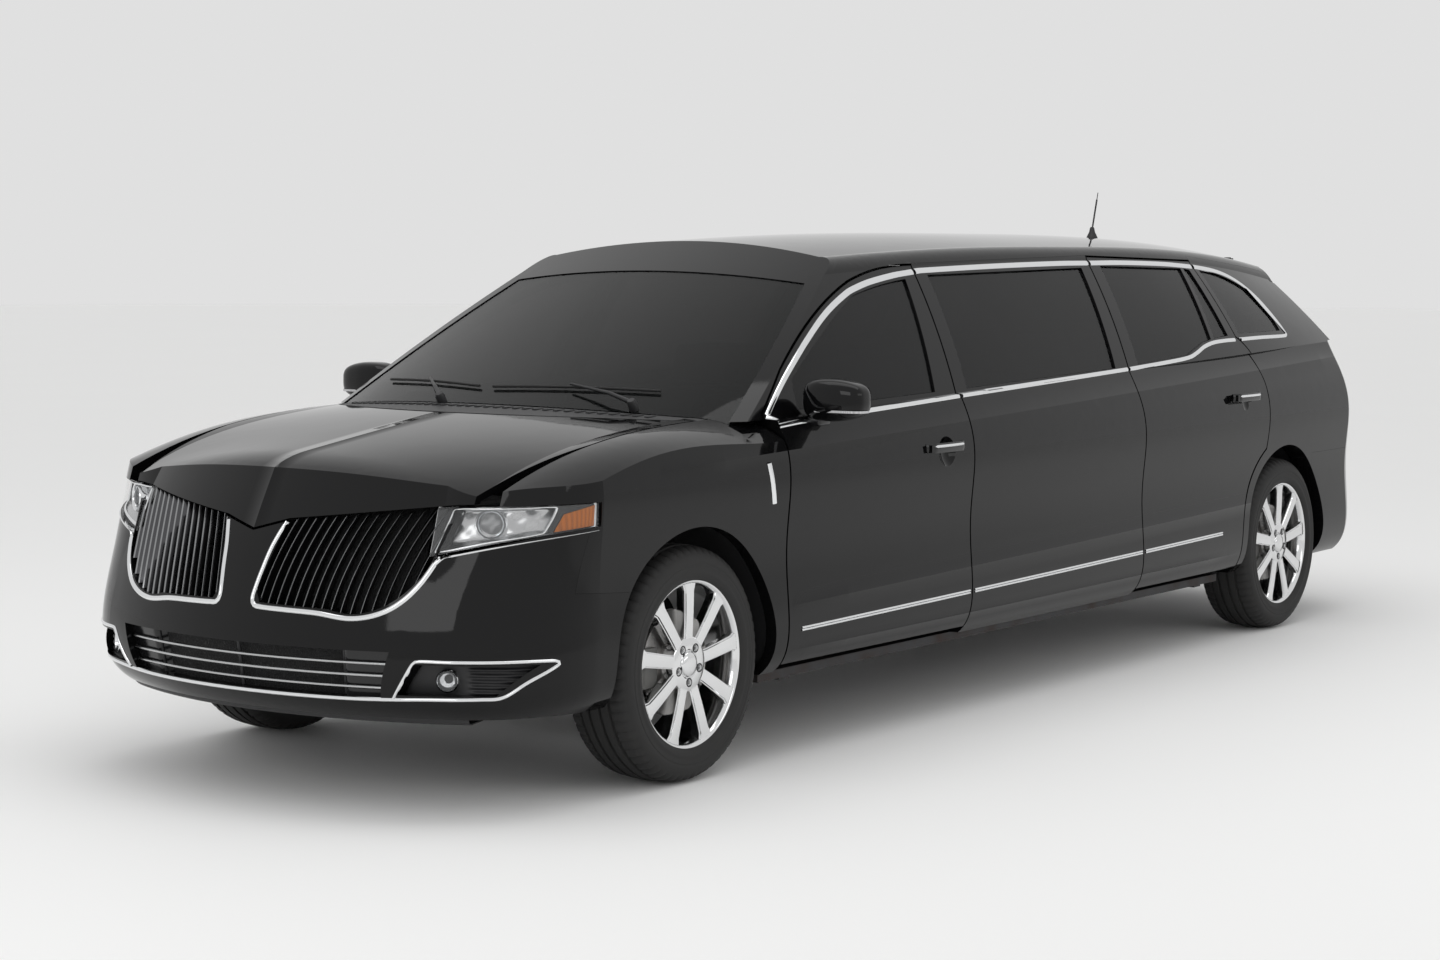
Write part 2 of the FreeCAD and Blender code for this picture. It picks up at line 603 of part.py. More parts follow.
# The roof is what is left of the cabin's skin, with the windscreen's pillars.
roof = CABIN_SKIN.cut(tailgate_hole)
for hole in (front_door_hole, rear_door_hole, side_prism_grown(CENTRE_OUTLINE, SEAM, 0.0, FAR),
             side_prism_grown(QUARTER_OUTLINE, SEAM, 0.0, FAR)):
    roof = roof.cut(hole).cut(mirrored(hole))
header = slope_volume(SCREEN, 0.0, TAIL + 800.0).cut(slope_volume(SCREEN, SKIN_WALL, TAIL + 900.0))
header_zone = header_volume(0.0)
header = CABIN.common(header).common(header_zone).cut(front_door_hole).cut(mirrored(front_door_hole))
roof = roof.fuse(header).cut(nose_top(-SEAM))
keep("roof", roof)

# The nose: bonnet, wings and bumper.
hood = nose_shell(HOOD_WALL).common(hood_volume(0.0))
hood_boss = box(HOOD_HINGE - 60.0, HOOD_REAR, HOOD_HINGE_Y - 32.0, HOOD_HINGE_Y + 30.0,
                HOOD_HINGE_Z - 12.0, 1200.0)
hood_boss = hood_boss.common(NOSE_OUTER).common(hood_volume(0.0))
hood = hood.fuse(hood_boss).fuse(mirrored(hood_boss))
LID_SLOT = LID_HINGE_WIDTH / 2 + 2.0    # half the width of the slot that a lid's arm runs in
for y in (-HOOD_HINGE_Y, HOOD_HINGE_Y):
    y0, y1 = y - LID_SLOT, y + LID_SLOT
    hood = hood.cut(box(HOOD_HINGE - 11.0, HOOD_REAR + 10.0, y0, y1,
                        HOOD_HINGE_Z - 100.0, HOOD_HINGE_Z + 10.0))
    hood = hood.cut(rod(at(HOOD_HINGE, y0 - 12.0, HOOD_HINGE_Z), at(HOOD_HINGE, y1 + 12.0, HOOD_HINGE_Z),
                        LID_PIN + SHAFT_FIT))
keep("hood", hood)
hood_hole = hood_volume(GAP)
bumper_zone = side_prism(BUMPER_SIDE, -FAR, FAR)
headlamp_zone = end_prism(HEADLAMP, NOSE - 60.0, -488.0)
grille_zone = end_prism(GRILLE, NOSE - 60.0, -600.0)
fog_zone = end_prism(FOG_POD, NOSE - 60.0, -600.0)
lower_grille_zone = end_prism(LOWER_GRILLE, NOSE - 60.0, -600.0)
door_front_zone = box(NOSE - 100.0, FRONT_DOOR - GAP, -FAR, FAR, 0.0, 2000.0)

bumper = NOSE_SKIN.common(bumper_zone).cut(hood_hole).cut(lower_grille_zone)
for opening in (headlamp_zone, grille_zone, fog_zone, arch_front):
    bumper = bumper.cut(opening).cut(mirrored(opening))
keep("front_bumper", bumper)

cowl_zone = box(NOSE, 700.0, -HOOD_HALF_WIDTH - GAP, HOOD_HALF_WIDTH + GAP, 900.0, 1400.0)
behind_glass = slope_volume(SCREEN, -4.0, TAIL + 800.0)
fender = NOSE_SKIN.common(LEFT).common(door_front_zone).cut(side_prism_grown(BUMPER_SIDE, SEAM, -FAR, FAR))
fender = fender.cut(hood_hole).cut(cowl_zone).cut(arch_front).cut(box(NOSE, -600.0, 0.0, 655.0, 0.0, 1200.0))
fender = fender.cut(end_prism(HEADLAMP, NOSE - 60.0, -488.0 + SEAM)).cut(grille_zone).cut(front_door_hole)
keep("fenders", both(fender))
cowl_half = HOOD_HALF_WIDTH + GAP - SEAM
cowl = NOSE_SKIN.common(box(-200.0, 560.0, -cowl_half, cowl_half, 900.0, 1400.0))
cowl = cowl.cut(hood_hole).cut(behind_glass)
arm_slot = LID_HINGE_WIDTH / 2 + SEAT
for y in (-HOOD_HINGE_Y, HOOD_HINGE_Y):
    cowl = cowl.cut(box(-200.0, 460.0, y - arm_slot, y + arm_slot, 860.0, HOOD_HINGE_Z + 10.0))
    pin_ends = [at(HOOD_HINGE, y + end, HOOD_HINGE_Z) for end in (-2 * LID_SLOT, 2 * LID_SLOT)]
    cowl = cowl.cut(rod(*pin_ends, LID_PIN + SEAT))
# The bonnet's rear corners swing down in front of the cowl's.
swing_room = box(-200.0, HOOD_REAR + HOOD_REAR_GAP, HOOD_HINGE_Y - 6.0, FAR, 860.0, 1400.0)
cowl = cowl.cut(swing_room).cut(mirrored(swing_room))
keep("cowl", cowl)

# Lamps and grilles fill their openings, set back a little from the skin.
NOSE_SET_BACK = 6.0
LAMP_DEPTH = 70.0


def nose_filling(set_back, depth, zone):
    """A slab of the nose's form, set back from the skin, inside a zone."""
    outer = lower_body(set_back).common(nose_top(set_back))
    inner = lower_body(set_back + depth).common(nose_top(set_back + depth))
    return outer.cut(inner).common(zone)


headlamp = nose_filling(NOSE_SET_BACK, LAMP_DEPTH, headlamp_zone).cut(hood_hole).common(LEFT)
keep("headlamps", both(headlamp))

windscreen = slope_volume(SCREEN, GLASS_SET_BACK, TAIL + 800.0)
windscreen = windscreen.cut(slope_volume(SCREEN, GLASS_SET_BACK + 8.0, TAIL + 900.0))
windscreen = cabin(SKIN_WALL + SEAT).common(windscreen).cut(nose_top(-SEAM))
windscreen = windscreen.cut(header_volume(SEAT))
keep("windscreen", windscreen)
back_zone = end_prism([(-430.0, 1225.0), (430.0, 1225.0), (400.0, 1480.0), (-400.0, 1480.0)],
                      TAIL - 800.0, TAIL + 50.0)
tailgate = panel(tailgate_volume(0.0, TAILGATE_BOTTOM)).cut(back_zone)
for y in (-TAILGATE_HINGE_Y, TAILGATE_HINGE_Y):
    y0, y1 = y - LID_SLOT, y + LID_SLOT
    tailgate = tailgate.cut(box(TAILGATE_HINGE - 60.0, TAILGATE_HINGE + 11.0, y0, y1,
                                TAILGATE_HINGE_Z - 100.0, TAILGATE_HINGE_Z + 9.0))
    tailgate = tailgate.cut(rod(at(TAILGATE_HINGE, y0 - 12.0, TAILGATE_HINGE_Z),
                                at(TAILGATE_HINGE, y1 + 12.0, TAILGATE_HINGE_Z), LID_PIN + SHAFT_FIT))
keep("tailgate", tailgate)
back_glass = slope_volume(BACK_WINDOW, -GLASS_SET_BACK, NOSE).cut(
    slope_volume(BACK_WINDOW, -GLASS_SET_BACK - GLASS_THICKNESS, NOSE - 100.0))
keep("tailgate_window", back_glass.common(back_zone))

# ---------------------------------------------------------------- grilles, lamps and fixed glass
BAR_PITCH = 29.0
BAR_WIDTH = 9.0
GRILLE_FRAME = 12.0


def framed(outline, zone_rear, frame):
    """An opening's zone and the same zone shrunk by its frame."""
    face = Part.Face(wire(outline, lambda y, z: at(NOSE - 60.0, y, z)))
    inner = Part.Face(face.makeOffset2D(-frame, join=2).Wires[0])
    return inner.extrude(Vector(NOSE - 60.0 - zone_rear, 0, 0))


grille_slab = nose_filling(NOSE_SET_BACK + 10.0, 30.0, grille_zone).cut(hood_hole)
grille_hole = framed(GRILLE, -600.0, GRILLE_FRAME).cut(hood_volume(GAP + GRILLE_FRAME))
grille = grille_slab.cut(grille_hole)
bars = [box(NOSE - 60.0, -600.0, y - BAR_WIDTH / 2, y + BAR_WIDTH / 2, 590.0, 940.0)
        for y in (96.0 + BAR_PITCH * i for i in range(19))]
grille_bars = grille_slab.common(Part.makeCompound(bars))
grille = grille.fuse(grille_bars).removeSplitter()
keep("upper_grille", both(grille))

lower_slab = nose_filling(NOSE_SET_BACK + 10.0, 30.0, lower_grille_zone)
lower_hole = framed(LOWER_GRILLE, -600.0, GRILLE_FRAME)
slats = [box(NOSE - 60.0, -600.0, -600.0, 600.0, z - 5.0, z + 5.0) for z in (384.0, 416.0, 448.0)]
uprights = [box(NOSE - 60.0, -600.0, y - 6.0, y + 6.0, 340.0, 500.0) for y in (-390.0, 0.0, 390.0)]
lower_grille = lower_slab.cut(lower_hole).fuse(lower_slab.common(Part.makeCompound(slats)))
for upright in uprights:
    lower_grille = lower_grille.fuse(lower_slab.common(upright))
keep("lower_grille", lower_grille)

fog_lamp = nose_filling(NOSE_SET_BACK + 14.0, 40.0, fog_zone)
keep("fog_lamps", both(fog_lamp))

fixed_panes = [window_glass(CENTRE_WINDOW), window_glass(QUARTER_WINDOW)]
keep("fixed_side_windows", Part.makeCompound(fixed_panes + [mirrored(pane) for pane in fixed_panes]))

# ---------------------------------------------------------------- running gear
def tyre(behind):
    """A left tyre: an outer profile less an inner one."""
    half = TYRE_WIDTH / 2
    bead = half - 18.0 - SEAT
    guard = RIM_FLANGE + SEAT
    outer = [(RIM_RADIUS, -bead), (guard, -bead), (guard, -half + 10.0), Via(RIM_RADIUS + 52.0, -half),
             (TYRE_RADIUS - 26.0, -half + 8.0), (TYRE_RADIUS, -half + 34.0), (TYRE_RADIUS, half - 34.0),
             (TYRE_RADIUS - 26.0, half - 8.0), Via(RIM_RADIUS + 52.0, half), (guard, half - 10.0),
             (guard, bead), (RIM_RADIUS, bead)]
    inside = half - TYRE_WALL
    inner = [(RIM_RADIUS - 1.0, -inside + 16.0), Via(RIM_RADIUS + 50.0, -inside),
             (TYRE_RADIUS - 36.0, -inside + 10.0), (TYRE_RADIUS - TYRE_WALL, -inside + 36.0),
             (TYRE_RADIUS - TYRE_WALL, inside - 36.0), (TYRE_RADIUS - 36.0, inside - 10.0),
             Via(RIM_RADIUS + 50.0, inside), (RIM_RADIUS - 1.0, inside - 16.0)]
    centre = at(behind, HALF_TRACK, TYRE_RADIUS)
    return turned(outer, centre).cut(turned(inner, centre))


RIM_FACE = TYRE_WIDTH / 2 - 12.0   # the spokes' outer face, outward of the wheel's middle
SPOKE_DEPTH = 26.0


def rim(behind):
    """A left rim: barrel, spokes and a bored hub."""
    half = TYRE_WIDTH / 2 - 16.0
    seat = RIM_RADIUS - SEAT
    inner = seat - RIM_WALL
    barrel = [(inner, -half), (RIM_FLANGE, -half), (RIM_FLANGE, -half + 2.0), (seat, -half + 2.0),
              (seat, half - 2.0), (RIM_FLANGE, half - 2.0), (RIM_FLANGE, half), (inner, half)]
    centre = at(behind, HALF_TRACK, TYRE_RADIUS)
    hub = [(HUB_BORE, RIM_FACE - HUB_LENGTH), (HUB_RADIUS, RIM_FACE - HUB_LENGTH),
           (HUB_RADIUS, RIM_FACE - 6.0), (40.0, RIM_FACE), (HUB_BORE, RIM_FACE)]
    wheel = turned(barrel, centre).fuse(turned(hub, centre))
    for i in range(SPOKES):
        blade = [(HUB_RADIUS - 8.0, RIM_FACE - SPOKE_DEPTH - 12.0), (inner + 2.0, half - SPOKE_DEPTH),
                 (inner + 2.0, half - 2.0), (HUB_RADIUS - 8.0, RIM_FACE - 8.0)]
        face = Part.Face(wire(blade, lambda r, y: centre + Vector(-17.0, y, r)))
        spoke = face.extrude(Vector(34.0, 0, 0))
        wheel = wheel.fuse(spoke.rotate(centre, Vector(0, 1, 0), 360.0 * i / SPOKES))
    return wheel


SPINDLE_END = RIM_FACE - 14.0
KINGPIN_Y = HALF_TRACK - 63.0
RAIL_Z = FLOOR_Z + 23.0       # the underside of the front rails
BALL_PIN = 10.0
BALL_RISE = 120.0           # the ball joints above and below the wheel's centre
KNUCKLE_BASE = HALF_TRACK + RIM_FACE - HUB_LENGTH - 2.0


def knuckle():
    """The left front knuckle: an upright between two ball joints, and the wheel's spindle."""
    top = TYRE_RADIUS + BALL_RISE
    low = TYRE_RADIUS - BALL_RISE
    shape = box(-28.0, 28.0, KINGPIN_Y - 22.0, KINGPIN_Y + 22.0, low - 20.0, top + 20.0)
    shape = shape.fuse(rod(at(0.0, KINGPIN_Y, TYRE_RADIUS), at(0.0, KNUCKLE_BASE, TYRE_RADIUS), 62.0))
    shape = shape.fuse(rod(at(0.0, KINGPIN_Y, TYRE_RADIUS), at(0.0, HALF_TRACK + SPINDLE_END, TYRE_RADIUS),
                           HUB_BORE - SHAFT_FIT))
    for z in (low, top):
        ends = at(0.0, KINGPIN_Y, z - 25.0), at(0.0, KINGPIN_Y, z + 25.0)
        shape = shape.cut(rod(*ends, BALL_PIN + SHAFT_FIT))
    return shape


def front_suspension():
    """A crossmember with two towers, and the arms that end in the knuckles' ball pins."""
    low = TYRE_RADIUS - BALL_RISE
    top = TYRE_RADIUS + BALL_RISE
    tower_y = FRONT_HOUSE_INNER - 45.0
    beam = box(-60.0, 60.0, -tower_y, tower_y, low - 44.0, RAIL_Z - SEAT)
    shape = beam
    for side in (1, -1):
        y0, y1 = sorted((side * tower_y, side * (tower_y + 30.0)))
        shape = shape.fuse(box(-40.0, 40.0, y0, y1, low - 44.0, top + 60.0))
        kingpin = side * KINGPIN_Y
        for z, pin_end in ((low - 32.0, low + 15.0), (top + 32.0, top - 15.0)):
            y0, y1 = sorted((side * (tower_y + 10.0), side * (KINGPIN_Y + 16.0)))
            shape = shape.fuse(box(-20.0, 20.0, y0, y1, z - 10.0, z + 10.0))
            shape = shape.fuse(rod(at(0.0, kingpin, z), at(0.0, kingpin, pin_end), BALL_PIN))
    return shape


def rear_suspension():
    """A beam axle with its spindles, on two trailing arms."""
    b = WHEELBASE
    shape = rod(at(b, -KNUCKLE_BASE, TYRE_RADIUS), at(b, KNUCKLE_BASE, TYRE_RADIUS), 42.0)
    end = HALF_TRACK + SPINDLE_END
    shape = shape.fuse(rod(at(b, -end, TYRE_RADIUS), at(b, end, TYRE_RADIUS), HUB_BORE - SHAFT_FIT))
    shape = shape.fuse(rod(at(b - 110.0, 0.0, TYRE_RADIUS), at(b + 110.0, 0.0, TYRE_RADIUS), 95.0))
    arm = [(b - 500.0, FLOOR_Z - 40.0), (b + 20.0, TYRE_RADIUS - 30.0), (b + 20.0, TYRE_RADIUS + 20.0),
           (b - 470.0, FLOOR_Z), (b - 560.0, FLOOR_Z), (b - 560.0, FLOOR_Z - 40.0)]
    arm_y = HALF_TRACK - 328.0
    for y in (-arm_y, arm_y):
        shape = shape.fuse(side_prism(arm, y - 20.0, y + 20.0))
    return shape


keep("left_knuckle", knuckle())
keep("right_knuckle", mirrored(knuckle()))
keep("front_suspension", front_suspension())
keep("rear_suspension", rear_suspension())
for end, behind in (("front", 0.0), ("rear", WHEELBASE)):
    left_tyre, left_rim = tyre(behind), rim(behind)
    keep(end + "_left_tyre", left_tyre)
    keep(end + "_left_rim", left_rim)
    keep(end + "_right_tyre", mirrored(left_tyre))
    keep(end + "_right_rim", mirrored(left_rim))

# ---------------------------------------------------------------- floor, wheelhouses, engine
FLOOR_HALF = HALF_WIDTH - 115.0
CARGO_START = WHEELBASE - 500.0
FLOOR_TOP = FLOOR_Z + FLOOR_THICKNESS
RAIL_Y = 380.0
floor = box(455.0, CARGO_START, -FLOOR_HALF, FLOOR_HALF, FLOOR_Z, FLOOR_TOP)
floor = floor.fuse(box(CARGO_START - 30.0, CARGO_START, -REAR_HOUSE_INNER, REAR_HOUSE_INNER,
                       FLOOR_Z, CARGO_Z))
floor = floor.fuse(box(CARGO_START - 30.0, TAIL - 300.0, -REAR_HOUSE_INNER + 6.0, REAR_HOUSE_INNER - 6.0,
                       CARGO_Z - FLOOR_THICKNESS, CARGO_Z))
floor = floor.fuse(box(455.0, 475.0, -740.0, 740.0, FLOOR_Z, 1000.0))
RAIL_OUTER = RAIL_Y + 40.0
RAIL_FRONT = NOSE + 195.0
for y0, y1 in ((RAIL_Y, RAIL_OUTER), (-RAIL_OUTER, -RAIL_Y)):
    floor = floor.fuse(box(RAIL_FRONT, 460.0, y0, y1, RAIL_Z, RAIL_Z + 74.0))
floor = floor.fuse(box(RAIL_FRONT, RAIL_FRONT + 28.0, -RAIL_OUTER, RAIL_OUTER, RAIL_Z, 560.0))
for behind in (JACK_FRONT, JACK_REAR):
    for y in (-JACK_Y, JACK_Y):
        floor = floor.fuse(box(behind - JACK_HALF, behind + JACK_HALF, y - JACK_HALF, y + JACK_HALF,
                               FLOOR_Z - JACK_DROP, FLOOR_Z))
keep("floor_pan", floor)


def wheelhouse(behind, inner_y, wall):
    """A left wheelhouse: the upper half of a drum, with its inboard wall, within the skin."""
    centre_in = at(behind, inner_y, ARCH_Z)
    centre_out = at(behind, FAR, ARCH_Z)
    drum = rod(centre_in, centre_out, HOUSE_RADIUS + HOUSE_WALL)
    drum = drum.cut(rod(at(behind, inner_y + HOUSE_WALL, ARCH_Z), centre_out, HOUSE_RADIUS))
    drum = drum.cut(box(behind - 600.0, behind + 600.0, 0.0, FAR, 0.0, ARCH_Z - 60.0))
    drum = drum.cut(box(behind - 120.0, behind + 120.0, inner_y - 10.0, inner_y + 10.0, 0.0, ARCH_Z + 200.0))
    return drum.common(lower_body(wall + SEAT))


houses = [wheelhouse(0.0, FRONT_HOUSE_INNER, SKIN_WALL), wheelhouse(WHEELBASE, REAR_HOUSE_INNER, DOOR_WALL)]
keep("wheelhouses", Part.makeCompound(houses + [mirrored(house) for house in houses]))
keep("engine_block", box(-420.0, 330.0, -RAIL_Y + SEAT, RAIL_Y - SEAT, FLOOR_Z + 60.0, 880.0))
keep("tail_lamps", both(tail_lamp))


def lid_arm(outline, y, hinge, hinge_z):
    """A flat arm that ends in an eye with its pin."""
    y0, y1 = y - LID_HINGE_WIDTH / 2, y + LID_HINGE_WIDTH / 2
    arm = side_prism(outline, y0, y1)
    arm = arm.fuse(rod(at(hinge, y0, hinge_z), at(hinge, y1, hinge_z), LID_EYE))
    return arm.fuse(rod(at(hinge, y0 - 12.0, hinge_z), at(hinge, y1 + 12.0, hinge_z), LID_PIN))


hood_arm = lid_arm([(HOOD_HINGE - 7.0, HOOD_HINGE_Z), (HOOD_HINGE - 7.0, 990.0), (455.0 - SEAT, 880.0),
                    (455.0 - SEAT, 930.0), (HOOD_HINGE + 7.0, 1010.0), (HOOD_HINGE + 7.0, HOOD_HINGE_Z)],
                   HOOD_HINGE_Y, HOOD_HINGE, HOOD_HINGE_Z)
back_arm = lid_arm([(TAILGATE_HINGE - 7.0, TAILGATE_HINGE_Z), (TAILGATE_HINGE - 7.0, 1532.0),
                    (TAILGATE_HINGE - 90.0, 1532.0), (TAILGATE_HINGE - 90.0, 1600.0),
                    (TAILGATE_HINGE - 120.0, 1600.0), (TAILGATE_HINGE - 120.0, 1512.0),
                    (TAILGATE_HINGE + 7.0, 1512.0), (TAILGATE_HINGE + 7.0, TAILGATE_HINGE_Z)],
                   TAILGATE_HINGE_Y, TAILGATE_HINGE, TAILGATE_HINGE_Z).cut(roof)
back_arm = max(back_arm.Solids, key=lambda solid: solid.Volume)
brackets = [hinge_post(FRONT_DOOR), hinge_post(REAR_DOOR), hood_arm, back_arm]
keep("hinge_brackets", Part.makeCompound(brackets + [mirrored(bracket) for bracket in brackets]))

# ---------------------------------------------------------------- cabin
dashboard = side_prism([(475.0 + SEAT, 640.0), (475.0 + SEAT, 1000.0), (620.0, 1050.0), (880.0, 1010.0),
                        (925.0, 900.0), (840.0, 640.0)], -700.0, 700.0)
WHEEL_HUB = (1010.0, 380.0, 975.0)
COLUMN_TILT = math.radians(25.0)
COLUMN_RADIUS = 12.0
STEERING_RADIUS = 182.0
column_axis = Vector(-math.cos(COLUMN_TILT), 0.0, math.sin(COLUMN_TILT))
hub_centre = at(*WHEEL_HUB)
keep("dashboard", dashboard.fuse(rod(hub_centre - column_axis * 260.0, hub_centre + column_axis * 10.0,
                                     COLUMN_RADIUS)))
steering = Part.makeTorus(STEERING_RADIUS, 14.0, hub_centre, column_axis)
steering = steering.fuse(rod(hub_centre - column_axis * 25.0, hub_centre + column_axis * 25.0, 44.0))
for angle in (0.0, 180.0, 270.0):
    spoke = rod(hub_centre, hub_centre + Vector(0.0, STEERING_RADIUS, 0.0), 11.0)
    steering = steering.fuse(spoke.rotate(hub_centre, column_axis, angle))
keep("steering_wheel", steering.cut(rod(hub_centre - column_axis * 40.0, hub_centre + column_axis * 11.0,
                                        COLUMN_RADIUS + SHAFT_FIT)))


def seat(front, y, half, facing):
    """A seat on its base: front is the cushion's front edge, facing 1 forwards and -1 rearwards."""
    def outline(points):
        return [(front + facing * b, z) for b, z in points]

    base = side_prism(outline([(60.0, FLOOR_TOP), (480.0, FLOOR_TOP), (480.0, 440.0), (60.0, 440.0)]),
                      y - half + 50.0, y + half - 50.0)
    cushion = side_prism(outline([(0.0, 430.0), (560.0, 430.0), (560.0, 560.0), (60.0, 590.0), (0.0, 560.0)]),
                         y - half, y + half)
    back = side_prism(outline([(500.0, 540.0), (620.0, 540.0), (740.0, 1120.0), (640.0, 1140.0)]),
                      y - half + 5.0, y + half - 5.0)
    rest = side_prism(outline([(650.0, 1100.0), (735.0, 1100.0), (770.0, 1260.0), (700.0, 1270.0)]),
                      y - min(half, 330.0) * 0.45, y + min(half, 330.0) * 0.45)
    return base.fuse(cushion).fuse(back).fuse(rest)


keep("seats", Part.makeCompound([seat(1190.0, 370.0, 265.0, 1), seat(1190.0, -370.0, 265.0, 1),
                                 seat(REAR_DOOR - 165.0, 0.0, 630.0, -1),
                                 seat(REAR_DOOR + 195.0, 0.0, 630.0, 1)]))

# ---------------------------------------------------------------- exhaust, antenna, wipers
PIPE = 28.0
pipe_z = FLOOR_Z - SEAT - PIPE
muffler_start = WHEELBASE + 280.0
exhaust = rod(at(520.0, -250.0, pipe_z), at(muffler_start + 10.0, -250.0, pipe_z), PIPE)
exhaust = exhaust.fuse(box(muffler_start, muffler_start + 500.0, -420.0, -80.0, pipe_z - 20.0,
                           pipe_z + 110.0))
exhaust = exhaust.fuse(box(muffler_start + 200.0, muffler_start + 230.0, -265.0, -235.0, pipe_z + 100.0,
                           CARGO_Z - FLOOR_THICKNESS - SEAT))
exhaust = exhaust.fuse(rod(at(muffler_start + 490.0, -250.0, pipe_z + 10.0),
                           at(TAIL - 90.0, -250.0, pipe_z + 25.0), PIPE))
keep("exhaust", exhaust)

ANTENNA = WHEELBASE - 40.0
antenna_foot = Part.makeCone(24.0, 9.0, 50.0, at(ANTENNA, 0.0, 1645.0), Vector(0, 0, 1)).cut(roof)
antenna_foot = max(antenna_foot.Solids, key=lambda solid: solid.CenterOfMass.z)
keep("antenna", antenna_foot.fuse(rod(at(ANTENNA, 0.0, 1690.0), at(ANTENNA + 60.0, 0.0, 1885.0), 2.0)))


def screen_point(y, z, lift):
    """A point on the windscreen's outer face, lifted forwards off it."""
    blend = (z - SCREEN.low_z) / (SCREEN.high_z - SCREEN.low_z)
    mid = SCREEN.low_mid + (SCREEN.high_mid - SCREEN.low_mid) * blend
    end = SCREEN.low_end + (SCREEN.high_end - SCREEN.low_end) * blend
    return at(mid + (end - mid) * (y / SLOPE_HALF) ** 2 + GLASS_SET_BACK - lift, y, z)


def wiper(y0, y1, pivot_y):
    """A blade lying along the screen's foot and its arm."""
    steps = 4
    path = [screen_point(y0 + (y1 - y0) * i / steps, 1178.0, 22.0) for i in range(steps + 1)]
    blade = rod(path[0], path[1], 6.0)
    for p, q in zip(path[1:], path[2:]):
        blade = blade.fuse(rod(p, q, 6.0))
    pivot = screen_point(pivot_y, 1120.0, 45.0)
    arm = rod(pivot - Vector(0, 0, 60.0), pivot + Vector(0, 0, 8.0), 12.0)
    return blade.fuse(arm).fuse(rod(pivot, path[2], 7.0))


in_front = slope_volume(SCREEN, GLASS_SET_BACK - SEAT, TAIL + 800.0)
wipers = [wiper(*ends).cut(cowl).cut(in_front) for ends in ((560.0, -60.0, 520.0), (-100.0, -640.0, -180.0))]
keep("wipers", Part.makeCompound([max(w.Solids, key=lambda solid: solid.Volume) for w in wipers]))

# ---------------------------------------------------------------- doors and mirrors
keep("front_left_door", front_door)
keep("front_right_door", mirrored(front_door))
keep("rear_left_door", rear_door)
keep("rear_right_door", mirrored(rear_door))
keep("front_left_window", front_glass)
keep("front_right_window", mirrored(front_glass))
keep("rear_left_window", rear_glass)
keep("rear_right_window", mirrored(rear_glass))
mirror_head = box(610.0, 745.0, HALF_WIDTH - 75.0, HALF_WIDTH + 150.0, 1084.0, 1226.0)
mirror_head = mirror_head.makeFillet(38.0, mirror_head.Edges)
mirror_foot = box(645.0, 720.0, HALF_WIDTH - 85.0, HALF_WIDTH - 5.0, 1068.0, 1128.0)
mirror = mirror_head.fuse(mirror_foot).cut(front_door).cut(front_glass)
keep("left_mirror", max(mirror.Solids, key=lambda s: s.Volume))
keep("right_mirror", mirrored(parts["left_mirror"]))


os.makedirs("parts", exist_ok=True)
for name, shape in parts.items():
    shape.exportStep("parts/" + name + ".step")
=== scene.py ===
"""Dresses the stretch limousine: paint, brightwork, glass, lamps, wheels, cabin and engine bay.

The car's frame is +X to the nose, +Y to the driver's left, +Z up, in metres, with the ground at z = 0.
Stations along the car are given as `behind`, the distance behind the front axle.
"""

import functools
import logging
import math
from collections.abc import Callable, Sequence
from dataclasses import dataclass, field
from enum import Enum
from typing import ClassVar

import bmesh
import bpy
from mathutils import Matrix, Vector
from mathutils.bvhtree import BVHTree
from mathutils.geometry import interpolate_bezier


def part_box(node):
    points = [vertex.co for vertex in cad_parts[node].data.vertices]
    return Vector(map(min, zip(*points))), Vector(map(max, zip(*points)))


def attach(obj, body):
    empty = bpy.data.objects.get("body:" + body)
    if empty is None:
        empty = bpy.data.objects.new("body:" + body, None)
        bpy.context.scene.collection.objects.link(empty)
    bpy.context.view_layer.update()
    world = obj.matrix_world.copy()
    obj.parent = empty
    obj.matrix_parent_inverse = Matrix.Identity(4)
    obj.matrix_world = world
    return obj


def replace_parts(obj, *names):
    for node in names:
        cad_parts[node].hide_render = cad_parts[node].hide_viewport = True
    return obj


log = logging.getLogger("limousine")
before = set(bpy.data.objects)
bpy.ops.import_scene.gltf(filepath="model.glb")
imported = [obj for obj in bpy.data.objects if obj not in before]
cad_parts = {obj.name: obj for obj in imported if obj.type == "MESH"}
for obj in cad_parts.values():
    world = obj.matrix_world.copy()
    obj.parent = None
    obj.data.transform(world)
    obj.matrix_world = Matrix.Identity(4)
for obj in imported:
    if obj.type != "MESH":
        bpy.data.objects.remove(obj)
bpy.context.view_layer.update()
TYRE_BOX = {end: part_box(f"{end}_left_tyre") for end in ("front", "rear")}
AXLE_X = sum(corner.x for corner in TYRE_BOX["front"]) / 2
WHEELBASE = AXLE_X - sum(corner.x for corner in TYRE_BOX["rear"]) / 2
HALF_TRACK = sum(corner.y for corner in TYRE_BOX["front"]) / 2
WHEEL_Z = sum(corner.z for corner in TYRE_BOX["front"]) / 2

AHEAD = Vector((1, 0, 0))
BACKWARDS = Vector((-1, 0, 0))
OUTWARDS = Vector((0, 1, 0))
INWARDS = Vector((0, -1, 0))
UP = Vector((0, 0, 1))
DOWN = Vector((0, 0, -1))
ACROSS_MIDDLE = Matrix.Diagonal((1.0, -1.0, 1.0, 1.0))
LOST = Vector((0, 0, -1))            # marks a point of a strip that found no surface

Value = "Signal | float | int | tuple | Vector"


def at(behind: float, y: float, z: float) -> Vector:
    """The point at a distance behind the front axle."""
    return Vector((AXLE_X - behind, y, z))


